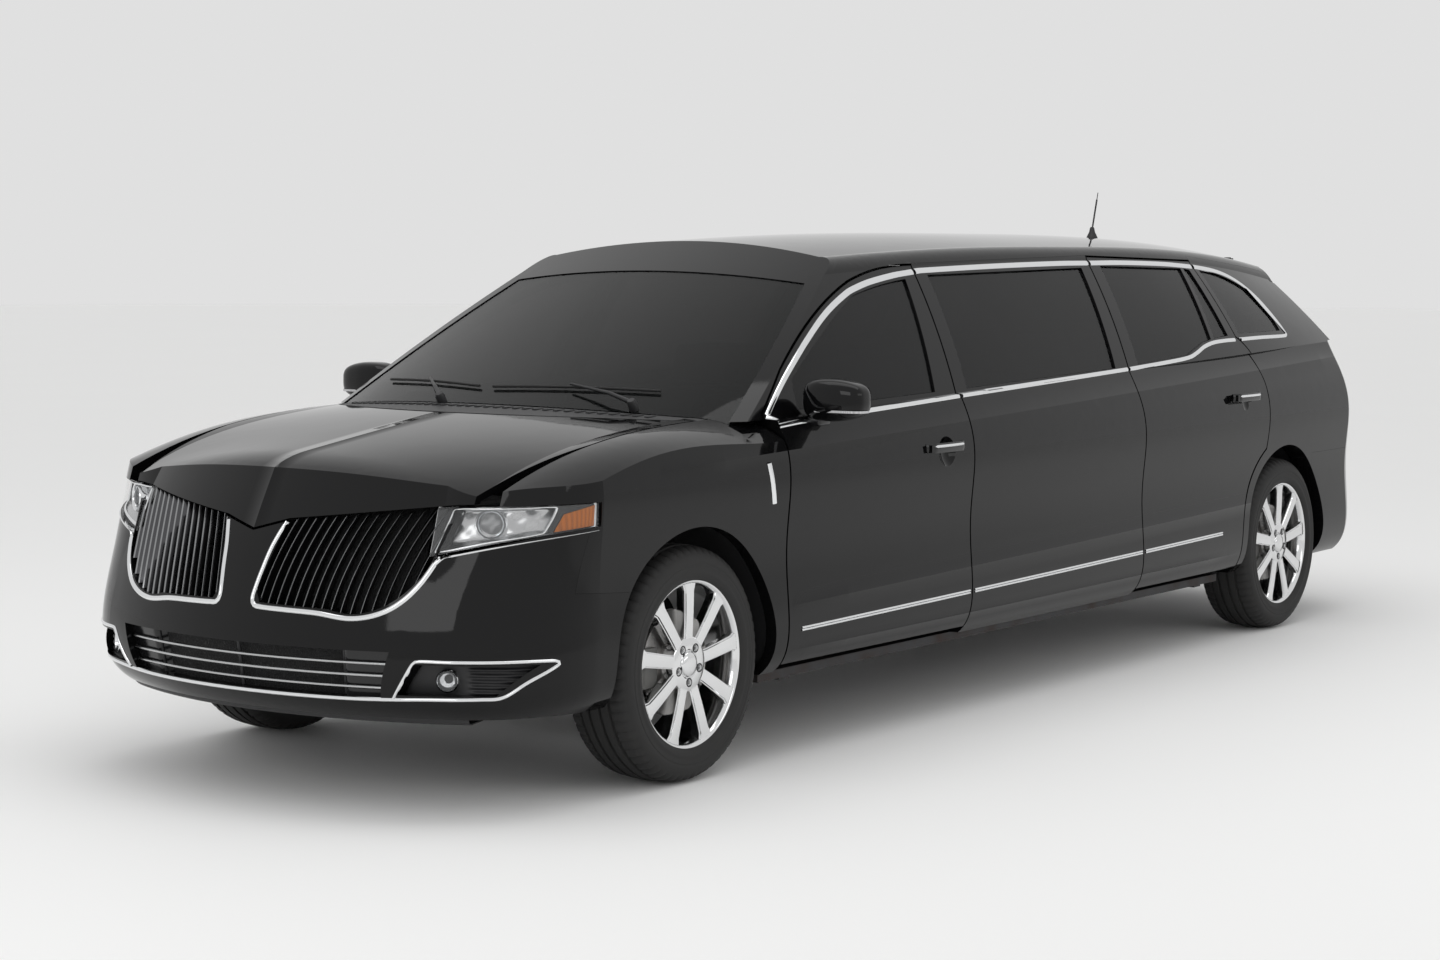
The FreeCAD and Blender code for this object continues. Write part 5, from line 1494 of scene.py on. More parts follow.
# ---------------------------------------------------------------- wheels
@dataclass
class Wheel:
    """A nine-spoke plated wheel with its tyre and brake, made at the front left and copied to each corner."""

    flange: float = 0.268
    face: float = 0.104
    spokes: int = 9
    spoke_root: float = 0.066
    hub: float = 0.086
    tyre_steps: int = 256
    tread_blocks: int = 64
    shoulder_cut: float = 0.0055
    block_slant: float = 0.10
    nuts: int = 5
    nut_circle: float = 0.0572
    vanes: int = 36

    def build(self) -> None:
        """Makes the four wheels; they stand for the plain rims and tyres."""
        self.centre = at(0.0, HALF_TRACK, WHEEL_Z)
        made = [("tyre", self.tyre(), RUBBER), ("rim", self.rim(), WHEEL_CHROME),
                # the dark rings round the nuts are painted shade
                ("nuts", self.fixings(), SATIN), ("nut_shade_rings", self.shade_rings(), PLASTIC),
                ("brake_disc", self.disc(), STEEL), ("caliper", self.caliper(), CASTING)]
        to_rear = Matrix.Translation(BACKWARDS * WHEELBASE)
        for kind, form, finish in made:
            slot = "iron" if kind == "brake_disc" else finish.slot
            body = self.body("front", "left", kind)
            first = form.piece(f"front_left_{kind}_piece", body, finish, 40.0, slot=slot)
            corners = {("front", "left"): first}
            for end, side, place in (("rear", "left", to_rear), ("front", "right", ACROSS_MIDDLE),
                                     ("rear", "right", ACROSS_MIDDLE @ to_rear)):
                name = f"{end}_{side}_{kind}_piece"
                corners[end, side] = twin_of(first, name, self.body(end, side, kind), slot, place)
            if kind in ("tyre", "rim"):
                for (end, side), piece in corners.items():
                    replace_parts(piece, f"{end}_{side}_{kind}")

    def body(self, end: str, side: str, kind: str) -> str:
        """The body that a corner's piece rides on."""
        if kind != "caliper":
            return f"{end}_{side}_wheel"
        return f"{side}_knuckle" if end == "front" else "body"

    def polar(self, r: float, turn: float, y: float) -> Vector:
        """A point by its radius, its angle round the axle and its offset outwards."""
        return self.centre + Vector((r * math.sin(turn), y, r * math.cos(turn)))

    def tyre(self) -> Form:
        """Sidewalls with a rim guard and rings, four rain grooves and a shoulder of blocks."""
        half = [(0.2565, 0.1035), (0.2625, 0.1105), (0.2710, 0.1160), (0.2790, 0.1185), (0.2830, 0.1196),
                (0.2890, 0.1180), (0.2960, 0.1182), (0.3060, 0.1192), (0.3075, 0.1180), (0.3120, 0.1180),
                (0.3135, 0.1188), (0.3260, 0.1165), (0.3370, 0.1128), (0.3390, 0.1112), (0.3475, 0.1070),
                (0.3545, 0.1000), (0.3600, 0.0910), (0.3630, 0.0800), (0.3648, 0.0690), (0.3655, 0.0625),
                (0.3585, 0.0605), (0.3585, 0.0525), (0.3665, 0.0505), (0.3678, 0.0380), (0.3683, 0.0265),
                (0.3610, 0.0250), (0.3610, 0.0165), (0.3687, 0.0150), (0.3689, 0.0)]
        wall = [(0.262, -0.094), (0.300, -0.104), (0.336, -0.096), (0.347, -0.070), (0.349, 0.0),
                (0.347, 0.070), (0.336, 0.096), (0.300, 0.104), (0.262, 0.094)]
        ring = half + [(r, -y) for r, y in reversed(half[:-1])] + wall
        form = Form()
        rows = len(ring)

        def place(u: float, v: float) -> Vector:
            """Round the tyre with u, round its section with v."""
            index = round(v * rows)
            r, y = ring[index % rows]
            turn = math.tau * u
            step = round(u * self.tyre_steps) % (self.tyre_steps // self.tread_blocks)
            if r > 0.345 and 0.062 < abs(y) < 0.108 and index < 2 * len(half) and step == 0:
                r -= self.shoulder_cut
            return self.polar(r, turn + self.block_slant * y, y)

        form.sheet(self.tyre_steps, rows, place)
        bmesh.ops.remove_doubles(form.mesh, verts=form.mesh.verts, dist=1e-5)
        return form

    def rim(self) -> Form:
        """Barrel, nine spokes, hub and cap."""
        form = Form()
        f = self.flange
        form.lathe([(0.2400, -0.104), (f, -0.104), (f, -0.099), (0.2537, -0.096), (0.2537, 0.0965),
                    (f - 0.001, 0.0985), (f, 0.1025), (f - 0.003, 0.1062), (f - 0.009, 0.1066),
                    (f - 0.0165, 0.1030), (f - 0.0215, 0.0930), (0.2400, 0.070), (0.2360, 0.020),
                    (0.2370, -0.060)], self.centre, OUTWARDS, 108, closed=True)
        for i in range(self.spokes):
            self.spoke(form, math.tau * i / self.spokes)
        h = self.hub
        form.lathe([(0.0, 0.040), (0.072, 0.040), (h * 0.93, 0.052), (h, 0.075), (h * 0.985, 0.0945),
                    (h * 0.93, 0.0982), (0.047, 0.0975), (0.0425, 0.0935), (0.0400, 0.0935), (0.0385, 0.0990),
                    (0.0350, 0.1030), (0.022, 0.1058), (0.0, 0.1064)], self.centre, OUTWARDS, 90)
        return form

    def spoke(self, form: Form, turn: float) -> None:
        """Adds one spoke: flat-faced, with a stepped shoulder on each side, flaring into the rim.

        Args:
            form: the rim.
            turn: the spoke's angle.
        """
        edge = ((0.4, 0.0), (0.80, -0.0006), (0.86, -0.0045), (1.0, -0.0055), (0.98, -0.016), (0.72, -0.040))
        section = [(-across, deep) for across, deep in reversed(edge)] + list(edge)

        def place(u: float, v: float) -> Vector:
            """Out along the spoke with u, round its section with v."""
            across, deep = section[round(v * (len(section) - 1))]
            r = self.spoke_root + (0.2525 - self.spoke_root) * u
            half = 0.0205 + 0.0045 * u + 0.010 * smoothstep((u - 0.86) / 0.14)
            half += 0.004 * smoothstep((0.12 - u) / 0.12)
            dish = self.face - 0.0065 + 0.0045 * u + 0.0015 * math.sin(math.pi * u)
            aside = self.polar(across * half, turn + math.pi / 2, 0.0) - self.centre
            return self.polar(r, turn, dish + deep) + aside

        form.sheet(16, len(section) - 1, place)

    def fixings(self) -> Form:
        """Five nuts."""
        form = Form()
        for i in range(self.nuts):
            spot = self.polar(self.nut_circle, math.tau * (i + 0.5) / self.nuts, 0.088)
            form.rod(spot, spot + OUTWARDS * 0.0125, 0.0098, 0.0086, sides=6)
            form.rod(spot, spot + OUTWARDS * 0.0150, 0.0062, 0.0046, sides=16)
        return form

    def shade_rings(self) -> Form:
        """A flat dark ring round each nut: painted shade where the hollow that the nut sits in would be
        shaded.
        """
        form = Form()
        for i in range(self.nuts):
            spot = self.polar(self.nut_circle, math.tau * (i + 0.5) / self.nuts, 0.0)
            form.lathe([(0.0105, 0.0970), (0.0105, 0.0990), (0.0142, 0.0990), (0.0150, 0.0970)], spot,
                       OUTWARDS, 24, closed=True)
        return form

    def disc(self) -> Form:
        """A vented brake disc on its bell."""
        form = Form()
        bell, edge = 0.078, 0.1655
        for inner, outer in ((0.0200, 0.0265), (0.0365, 0.0425)):
            form.lathe([(bell, inner), (edge - 0.0005, inner), (edge, inner + 0.0005), (edge, outer - 0.0005),
                        (edge - 0.0005, outer), (bell, outer)], self.centre, OUTWARDS, 72, closed=True)
        form.lathe([(0.0755, 0.022), (0.085, 0.022), (0.085, 0.054), (0.0755, 0.056)], self.centre, OUTWARDS,
                   48, closed=True)
        for i in range(self.vanes):
            turn = math.tau * i / self.vanes
            form.rod(self.polar(0.10, turn, 0.0315), self.polar(0.158, turn + 0.06, 0.0315), 0.0026, sides=6)
        return form

    def caliper(self) -> Form:
        """A sliding caliper that bridges the disc's front edge."""
        form = Form()
        # Each block's (forward, outward, up) corners from the wheel's centre, and its rounding.
        for low, high, round_by in (((0.108, 0.0455, -0.062), (0.186, 0.0565, 0.062), 0.004),
                                    ((0.168, -0.010, -0.055), (0.196, 0.0565, 0.055), 0.005),
                                    ((0.102, -0.030, -0.060), (0.186, 0.0165, 0.060), 0.006)):
            form.block(self.centre + Vector(low), self.centre + Vector(high), round_by)
        return form


@dataclass
class DoorMirror:
    """A rounded gloss shell on a foot, with a bright signal strip and a glass facing rearwards."""

    low: Vector = field(default_factory=lambda: at(0.743, 0.893, 1.086))
    high: Vector = field(default_factory=lambda: at(0.613, 1.1145, 1.2245))
    roundness: float = 3.4

    def build(self) -> None:
        """Makes the mirror on both sides; it stands for the plain one."""
        shell, foot, strip, glass = (Form() for _ in range(4))
        size = self.high - self.low
        middle = (self.high + self.low) / 2
        shell.block(self.low, self.high)
        bmesh.ops.subdivide_edges(shell.mesh, edges=list(shell.mesh.edges), cuts=11, use_grid_fill=True)
        for vert in shell.mesh.verts:
            rel = Vector(2.0 * (vert.co[i] - middle[i]) / size[i] for i in range(3))
            reach = sum(abs(c) ** self.roundness for c in rel) ** (1 / self.roundness)
            rel *= max(abs(c) for c in rel) / reach
            rel.z *= 1.0 - 0.16 * smoothstep((rel.y + 0.1) / 1.1)
            rel.x = rel.x * (1.0 - 0.22 * max(0.0, rel.y)) if rel.x > 0 else rel.x
            vert.co = middle + Vector(rel[i] * size[i] / 2 for i in range(3))
        foot.block(at(0.718, 0.884, 1.070), at(0.648, 0.958, 1.108), 0.010, 4)

        def signal(u: float, v: float) -> Vector:
            """Round the shell's front and outer end with u."""
            turn = math.radians(-6 + 112 * u)
            ahead, outward = (math.copysign(abs(s) ** 0.55, s) for s in (math.cos(turn), math.sin(turn)))
            return Vector((middle.x + size.x * 0.478 * ahead * (1 - 0.16 * max(0.0, math.sin(turn))),
                           middle.y - 0.012 + (size.y / 2 + 0.0105) * outward,
                           middle.z - 0.034 + 0.0075 * (v - 0.5) - 0.002 * u))

        strip.sheet(30, 3, signal)
        bmesh.ops.recalc_face_normals(strip.mesh, faces=strip.mesh.faces)
        back = self.low.x - 0.0004

        def face(u: float, v: float) -> Vector:
            """The glass, a rounded rectangle."""
            a, b = 2 * u - 1, 2 * v - 1
            pull = max(abs(a), abs(b)) / max(1e-6, (abs(a) ** 4 + abs(b) ** 4) ** 0.25)
            return Vector((back, middle.y + a * pull * size.y * 0.40, middle.z + b * pull * size.z * 0.36))

        glass.sheet(16, 16, face)
        body = "front_{}_door"
        left, right = shell.pair("mirror_shell", PAINT, body)
        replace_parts(left, "left_mirror")
        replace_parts(right, "right_mirror")
        foot.pair("mirror_foot", GLOSS_PLASTIC, body)
        strip.pair("mirror_signal", WHITE_LENS, body, slot="chrome")
        glass.pair("mirror_glass", MIRROR_GLASS, body)


# ---------------------------------------------------------------- tail
@dataclass
class TailLamp:
    """A tail lamp: a red lens over a ribbed bowl, with a clear reversing window and a bright base strip."""

    low: float = 0.989
    high: float = 1.081
    side_end: float = 5.298
    rear_end: float = 0.611

    def build(self) -> None:
        """Makes both lamps; they stand for the plain ones."""
        skin = Skin("tail_lamps")
        lens, inner, clear, strip = (Form() for _ in range(4))
        out = Vector((-0.839, 0.545, 0.0)).normalized()

        def spot(u: float, v: float, depth: float) -> Vector:
            """u round the corner to the rear, v up, at a depth behind the lamp's face."""
            z = self.low + (self.high - self.low) * v
            start = skin.side(self.side_end, z)
            end = skin.rear(self.rear_end, z)
            chord = start.lerp(end, u)
            if 0.004 < u < 0.996:
                chord = skin.look(chord + out * 0.2, -out, 0.0) or chord
            return chord - out * depth

        def swell(u: float, v: float) -> float:
            """The lens's edges are drawn in a little."""
            edge = min(u, 1 - u, 0.4 * v, 0.4 * (1 - v))
            return 0.004 * (1.0 - smoothstep(edge / 0.03)) - 0.002

        lens.sheet(48, 14, lambda u, v: spot(0.01 + 0.98 * u, 0.02 + 0.96 * v, swell(u, v)))
        ribs = 0.006
        inner.sheet(60, 10, lambda u, v: spot(0.02 + 0.96 * u, 0.04 + 0.92 * v, 0.022 + (
            ribs * math.sin(90.0 * u) if 0.2 < v < 0.8 else 0.0)))
        clear.sheet(12, 6, lambda u, v: spot(0.58 + 0.26 * u, 0.14 + 0.24 * v, -0.003))
        strip.sheet(40, 3, lambda u, v: spot(0.01 + 0.98 * u, 0.02 + 0.05 * v, -0.0035))
        left, _ = lens.pair("tail_lens", RED)
        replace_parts(left, "tail_lamps")
        inner.pair("tail_reflector", SATIN)
        clear.pair("tail_reversing_lens", WHITE_LENS, slot="lamp_glass")
        strip.pair("tail_strip", CHROME)


@dataclass
class Tailgate:
    """What the tailgate carries: lamp band, blank plate on its plinth, wiper, brake light and handle."""

    plate_z: float = 0.875
    plate_half: tuple = (0.155, 0.078)
    band_z: float = 1.036
    band_end: float = 0.588

    def build(self) -> None:
        """Makes the pieces on the tailgate."""
        rear = Skin("tailgate").rear
        for name, z, width, height, finish in (
                ("tailgate_lamp_band", self.band_z, 0.084, 0.006, RED),
                ("tailgate_bar", self.band_z - 0.050, 0.012, 0.008, CHROME)):
            strip = Form()
            run = [(y, z) for y in (-self.band_end, -0.3, 0.3, self.band_end)]
            Band(run, width, rear, height, step=0.02).lay(strip)
            strip.piece(name, "tailgate", finish, 50.0)
        half_y, half_z = self.plate_half
        fifths = (-1, -0.5, 0, 0.5, 1)
        back = min(rear(half_y * y, self.plate_z + half_z * z).x for y in fifths for z in fifths)
        pan, plate, bolts = Form(), Form(), Form()
        pan_y, pan_z, slope = half_y + 0.035, half_z + 0.028, 0.022

        def dish(u: float, v: float) -> Vector:
            """The plate's plinth, with a flat top and a raised rim."""
            y, z = (2 * u - 1) * pan_y, (2 * v - 1) * pan_z
            edge = min((pan_y - abs(y)) / slope, (pan_z - abs(z)) / slope)
            face = rear(y, self.plate_z + z).x + 0.002
            x = face + (back - 0.001 - face) * smoothstep(edge)
            return Vector((x - 0.0045 * smoothstep(1.0 - abs(edge - 0.6) / 0.6), y, self.plate_z + z))

        pan.sheet(48, 28, dish)
        plate.block(Vector((back - 0.0065, -half_y, self.plate_z - half_z)),
                    Vector((back - 0.0030, half_y, self.plate_z + half_z)), 0.0012)
        for y in (-0.09, 0.09):
            head = Vector((back - 0.0062, y, self.plate_z + half_z - 0.014))
            bolts.lathe([(0.006, 0.0), (0.006, 0.0025), (0.0045, 0.004), (0.0, 0.004)], head, BACKWARDS, 24)
        pan.piece("plate_recess", "tailgate", GLOSS_PLASTIC)
        plate.piece("blank_rear_plate", "tailgate", BLANK_PLATE)
        bolts.piece("rear_plate_bolts", "tailgate", STEEL)
        face = rear(0.0, 0.972).x
        grip = Form()
        grip.block(Vector((face - 0.012, -0.07, 0.964)), Vector((face + 0.004, 0.07, 0.978)), 0.004)
        grip.piece("tailgate_grip", "tailgate", GLOSS_PLASTIC)
        self.upper()

    def upper(self) -> None:
        """The wiper on the window and the high brake light."""
        pane = Skin("tailgate_window", "tailgate").rear
        wiper = Form()
        foot, elbow = pane(0.0, 1.175, 0.006), pane(-0.02, 1.215, 0.024)
        wiper.lathe([(0.020, 0.0), (0.020, 0.014), (0.016, 0.024), (0.0, 0.026)], foot,
                    Vector((-0.9, 0, 0.436)).normalized(), 32)
        tips = [pane(y, z, 0.012) for y, z in ((-0.03, 1.252), (-0.13, 1.262), (-0.25, 1.258),
                                               (-0.36, 1.245))]
        wiper.rod(foot + Vector((-0.012, 0, 0.006)), elbow, 0.008, 0.006, 12)
        wiper.rod(elbow, tips[1], 0.006, 0.004, 12)
        for start, end in zip(tips, tips[1:]):
            wiper.rod(start, end, 0.0045, sides=10)
        wiper.piece("rear_wiper", "tailgate", PLASTIC)
        high_light = Form()
        Band([(-0.13, 1.496), (0.0, 1.498), (0.13, 1.496)], 0.018, pane, 0.006, step=0.015).lay(high_light)
        high_light.piece("high_brake_light", "tailgate", RED, 50.0)


@dataclass
class RearBumper:
    """The bumper's reflectors, dark apron, parking-sensor studs and loading pad."""

    reflector: tuple = (0.62, 0.49)

    def build(self) -> None:
        """Makes the pieces on the bumper."""
        skin = Skin("rear_bumper")
        red, apron, studs, pad = (Form() for _ in range(4))
        y, z = self.reflector
        Band([(y - 0.07, z), (y, z + 0.001), (y + 0.07, z + 0.002)], 0.026, skin.rear, 0.004,
             step=0.012).lay(red)
        red.both_sides()
        red.piece("rear_reflectors", "body", RED, 50.0)
        Band([(-0.56, 0.352), (-0.3, 0.350), (0.3, 0.350), (0.56, 0.352)], 0.075, skin.rear, 0.005,
             step=0.02).lay(apron)
        apron.piece("rear_apron", "body", PLASTIC, 50.0)
        for stud_y in (0.20, 0.58):
            spot = skin.rear(stud_y, 0.60, -0.001)
            studs.lathe([(0.0125, 0.0), (0.0125, 0.0022), (0.010, 0.0035), (0.0, 0.0035)], spot, BACKWARDS,
                        24)
        studs.both_sides()
        studs.piece("parking_sensors", "body", GLOSS_PLASTIC)
        top = skin.top(5.50, 0.0).z
        pad.block(at(5.555, -0.48, top), at(5.50, 0.48, top + 0.004), 0.0018)
        pad.piece("loading_pad", "body", PLASTIC)


@dataclass
class RoofTrim:
    """The roof's aerial: a moulded foot and a tall mast wound with fine rings."""

    rings: int = 26

    def build(self) -> None:
        """Makes the aerial; it stands for the plain one."""
        low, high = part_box("antenna")
        foot, mast = Form(), Form()
        centre = Vector((high.x - 0.024, 0.0, low.z))
        foot.lathe([(0.026, 0.0), (0.026, 0.008), (0.021, 0.020), (0.013, 0.036), (0.010, 0.052),
                    (0.007, 0.058), (0.0, 0.058)], centre, UP, 40)
        base = centre + UP * 0.045
        tip = Vector((low.x + 0.003, 0.0, high.z - 0.006))
        mast.rod(base, tip, 0.0032, 0.0017, 16)
        for i in range(self.rings):
            spot = base + (tip - base) * (0.10 + 0.72 * i / self.rings)
            mast.rod(spot, spot + (tip - base).normalized() * 0.0035, 0.0040, 0.0036, 12)
        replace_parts(foot.piece("aerial_foot", "body", PLASTIC), "antenna")
        mast.piece("aerial_mast", "body", PLASTIC)


# ---------------------------------------------------------------- cabin
FLOOR_Z = 0.2795                     # top of the cabin's floor


class SeatKind(Enum):
    """How a seat is shaped and which way it faces."""

    BUCKET = (1, 1)
    REAR_BENCH = (1, 3)
    FACING_BENCH = (-1, 3)

    @property
    def facing(self) -> int:
        """1 forwards, -1 rearwards."""
        return self.value[0]

    @property
    def places(self) -> int:
        """How many people sit on it."""
        return self.value[1]


@dataclass
class Seat:
    """A leather seat or bench: padded cushions, backs and head rests over a carpeted base."""

    name: str
    front: float
    y: float
    half: float
    kind: SeatKind

    def put(self, b: float, y: float, z: float) -> Vector:
        """A point by its distance behind the cushion's front edge."""
        return at(self.front + self.kind.facing * b, self.y + y, z)

    def pad(self, form: Form, low: tuple, high: tuple, y: tuple, deep: float, crown: float,
            channel: float = 0.0) -> None:
        """Adds one padded panel: a closed pillow between two corners, crowned and seamed.

        Args:
            form: what it is added to.
            low: (behind, z) of its lower or front edge.
            high: (behind, z) of its upper or rear edge.
            y: where its two sides are.
            deep: its thickness.
            crown: how far its face swells.
            channel: how far its sewn channels sink.
        """
        way = Vector((high[0] - low[0], high[1] - low[1]))
        out = Vector((-way.y, way.x)).normalized()
        if out.y < 0 and abs(out.y) > abs(out.x) or out.x > 0 and abs(out.x) >= abs(out.y):
            out = -out

        def place(u: float, v: float) -> Vector:
            """Round the pillow with v, across it with u."""
            s = 2 * u - 1
            turn = math.tau * v
            reach, thick = math.cos(turn), math.sin(turn)
            reach = math.copysign(abs(reach) ** 0.42, reach)
            thick = math.copysign(abs(thick) ** 0.55, thick)
            round_end = (1.0 - abs(s) ** 7) ** 0.30
            share = 0.5 + 0.5 * reach * (0.985 - 0.03 * (1.0 - round_end))
            puff = crown * (1.0 - s * s) * (1.0 - reach * reach) if thick > 0 else 0.0
            groove = max(0.0, math.cos(share * 5.0 * math.tau)) ** 6 * max(0.0, thick) * (1.0 - abs(s) ** 6)
            off = thick * deep / 2 * round_end + puff - channel * groove
            b = low[0] + way.x * share + out.x * off
            z = low[1] + way.y * share + out.y * off
            return self.put(b, y[0] + (y[1] - y[0]) * u, z)

        form.sheet(26, 44, place)

    def build(self) -> None:
        """Makes the seat; the driver's stands for all the plain ones."""
        leather, fittings, base = Form(), Form(), Form()
        width = 2 * self.half / self.kind.places
        for i in range(self.kind.places):
            y0 = -self.half + width * i + 0.006
            y1 = y0 + width - 0.012
            side = min(0.075, width * 0.16)
            self.pad(leather, (0.035, 0.510), (0.545, 0.498), (y0 + side, y1 - side), 0.115, 0.014, 0.006)
            self.pad(leather, (0.566, 0.585), (0.668, 1.105), (y0 + side, y1 - side), 0.100, 0.012, 0.006)
            for a, b in ((y0, y0 + side + 0.012), (y1 - side - 0.012, y1)):
                self.pad(leather, (0.03, 0.520), (0.545, 0.512), (a, b), 0.128, 0.006)
                self.pad(leather, (0.562, 0.580), (0.660, 1.095), (a, b), 0.118, 0.006)
            middle, rest = (y0 + y1) / 2, min(0.140, width * 0.32)
            self.pad(leather, (0.680, 1.120), (0.722, 1.262), (middle - rest, middle + rest), 0.085, 0.010)
            for post in (middle - 0.06, middle + 0.06):
                fittings.rod(self.put(0.672, post, 1.06), self.put(0.700, post, 1.16), 0.006, sides=12)
            if self.kind.places > 1:
                buckle, size = self.put(0.49, middle + 0.08, 0.572), Vector((0.012, 0.009, 0.03))
                fittings.block(buckle - size, buckle + size, 0.004)
        low, high = sorted((self.put(0.06, 0.0, 0.0).x, self.put(0.50, 0.0, 0.0).x))
        half = self.half - 0.03
        base.block(Vector((low, self.y - half, FLOOR_Z)), Vector((high, self.y + half, 0.462)), 0.014, 3)
        upholstery = leather.piece(f"{self.name}_upholstery", "body", LEATHER, 60.0, merge=True)
        if self.name == "driver_seat":
            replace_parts(upholstery, "seats")
        base.piece(f"{self.name}_base", "body", CARPET)
        fittings.piece(f"{self.name}_posts", "body", SATIN)


@dataclass
class Dashboard:
    """The dashboard: a padded top, binnacle, vents, screen, glovebox, centre stack and console."""

    half: float = 0.700
    binnacle_y: float = 0.380

    def build(self) -> None:
        """Makes the dashboard over the CAD block and its column."""
        top, face, bright, dark = (Form() for _ in range(4))
        run = flowing([(0.482, 1.004), (0.62, 1.048), (0.76, 1.040), (0.866, 1.016), (0.906, 0.985),
                       (0.922, 0.93), (0.924, 0.88), (0.905, 0.80), (0.880, 0.72), (0.846, 0.645)], 5)

        def skin(u: float, v: float) -> Vector:
            """Across the car with u and down the dashboard with v."""
            y = (2 * u - 1) * self.half
            b, z = along(run, v)
            hood = max(0.0, 1.0 - ((y - self.binnacle_y) / 0.19) ** 4)
            hood *= smoothstep((0.48 - abs(v - 0.40)) / 0.28)
            end = 1.0 - (abs(y) / self.half) ** 12
            rise = 0.034 * hood * smoothstep((0.62 - v) / 0.3)
            return at(b + 0.012 * hood - 0.010 * (1 - end), y, z + rise - 0.01 * (1 - end))

        top.sheet(90, 44, skin)

        def panel(form: Form, y: tuple, z: tuple, lift: float, radius: float = 0.006) -> None:
            """Adds a rounded panel on the dashboard's rear face.

            Args:
                form: what it is added to.
                y: where its two sides are.
                z: its lower and upper edges.
                lift: how far it stands off the face.
                radius: the rounding of its edges.
            """
            form.block(at(0.930 + lift, y[0], z[0]), at(0.905 + lift, y[1], z[1]), radius)

        panel(face, (-0.13, 0.13), (0.70, 0.985), 0.004, 0.010)
        panel(dark, (-0.10, 0.10), (0.868, 0.968), 0.008, 0.004)
        for y in (-0.62, -0.19, 0.19, 0.60):
            panel(dark, (y - 0.055, y + 0.055), (0.905, 0.962), 0.001, 0.008)
            for i in range(5):
                panel(bright, (y - 0.050, y + 0.050), (0.912 + 0.010 * i, 0.914 + 0.010 * i), 0.004, 0.0006)
        panel(face, (-0.60, -0.22), (0.70, 0.845), 0.000, 0.012)
        panel(bright, (-0.44, -0.38), (0.825, 0.835), 0.005, 0.003)
        for y in (-0.07, 0.07):
            dark.rod(at(0.925, y, 0.835), at(0.950, y, 0.835), 0.019, 0.017, 28)
            bright.rod(at(0.9255, y, 0.835), at(0.9290, y, 0.835), 0.0215, sides=28)
        for i in range(6):
            y = -0.075 + 0.030 * i
            panel(bright, (y - 0.011, y + 0.011), (0.785, 0.797), 0.009, 0.002)
        for y in (self.binnacle_y - 0.075, self.binnacle_y + 0.075):
            bright.lathe([(0.062, 0.0), (0.062, 0.006), (0.057, 0.008), (0.056, 0.001)], at(0.925, y, 0.975),
                         Vector((-1, 0, 0.15)).normalized(), 40, closed=True)
            dark.rod(at(0.915, y, 0.975), at(0.9275, y, 0.973), 0.056, sides=40)
        top.piece("dashboard_top", "body", DASH_SKIN, 50.0)
        face.piece("dashboard_face", "body", PLASTIC)
        dark.piece("dashboard_panels", "body", GLOSS_PLASTIC)
        bright.piece("dashboard_bright", "body", SATIN)
        self.console()

    def console(self) -> None:
        """The console between the front seats, with its selector and lid."""
        shell, lid, lever = Form(), Form(), Form()
        shell.block(at(1.52, -0.075, FLOOR_Z), at(0.93, 0.075, 0.560), 0.018, 3)
        lid.block(at(1.53, -0.078, 0.562), at(1.20, 0.078, 0.622), 0.018, 3)
        lever.rod(at(1.04, 0.0, 0.555), at(1.02, 0.0, 0.640), 0.008, 0.006, 16)
        lever.lathe([(0.0, -0.002), (0.017, 0.0), (0.022, 0.02), (0.020, 0.045), (0.010, 0.058),
                     (0.0, 0.060)], at(1.02, 0.0, 0.625), Vector((0.2, 0, 1)).normalized(), 28)
        shell.piece("console", "body", PLASTIC)
        lid.piece("console_lid", "body", LEATHER)
        lever.piece("selector", "body", GLOSS_PLASTIC)


@dataclass
class SteeringWheel:
    """A leather-rimmed wheel with a plain padded hub and three bright spokes."""

    hub: tuple = (1.010, 0.380, 0.975)
    tilt: float = 25.0
    radius: float = 0.182
    grip: float = 0.0142

    def build(self) -> None:
        """Makes the wheel; it stands for the plain one."""
        tilt, centre = math.radians(self.tilt), at(*self.hub)
        axis = Vector((-math.cos(tilt), 0.0, math.sin(tilt)))
        up = Vector((math.sin(tilt), 0.0, math.cos(tilt)))
        rim, hub, spokes = Form(), Form(), Form()
        turns = [math.tau * i / 14 for i in range(14)]
        ring = [(self.radius + self.grip * math.cos(a), self.grip * math.sin(a)) for a in turns]
        rim.lathe(ring, centre, axis, 96, closed=True)
        hub.lathe([(0.044, -0.024), (0.046, 0.0), (0.072, 0.012), (0.070, 0.024), (0.052, 0.034),
                   (0.024, 0.039), (0.0, 0.040)], centre, axis, 48)
        for way in (OUTWARDS, INWARDS, -up):
            cross = axis.cross(way)

            def spoke(u: float, v: float, way: Vector = way, cross: Vector = cross) -> Vector:
                """Out along a spoke with u, round it with v."""
                reach = 0.045 + (self.radius - 0.050) * u
                half = 0.026 - 0.010 * math.sin(math.pi * u)
                turn = math.tau * v
                rise = 0.010 * (1.0 - u)
                return (centre + way * reach + cross * half * math.cos(turn)
                        + axis * (rise + 0.008 * math.sin(turn)))

            spokes.sheet(12, 16, spoke)
        rim_piece = rim.piece("steering_rim", "steering_wheel", LEATHER, 60.0)
        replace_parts(rim_piece, "steering_wheel")
        hub.piece("steering_hub", "steering_wheel", PLASTIC)
        spokes.piece("steering_spokes", "steering_wheel", SATIN, 60.0, merge=True)


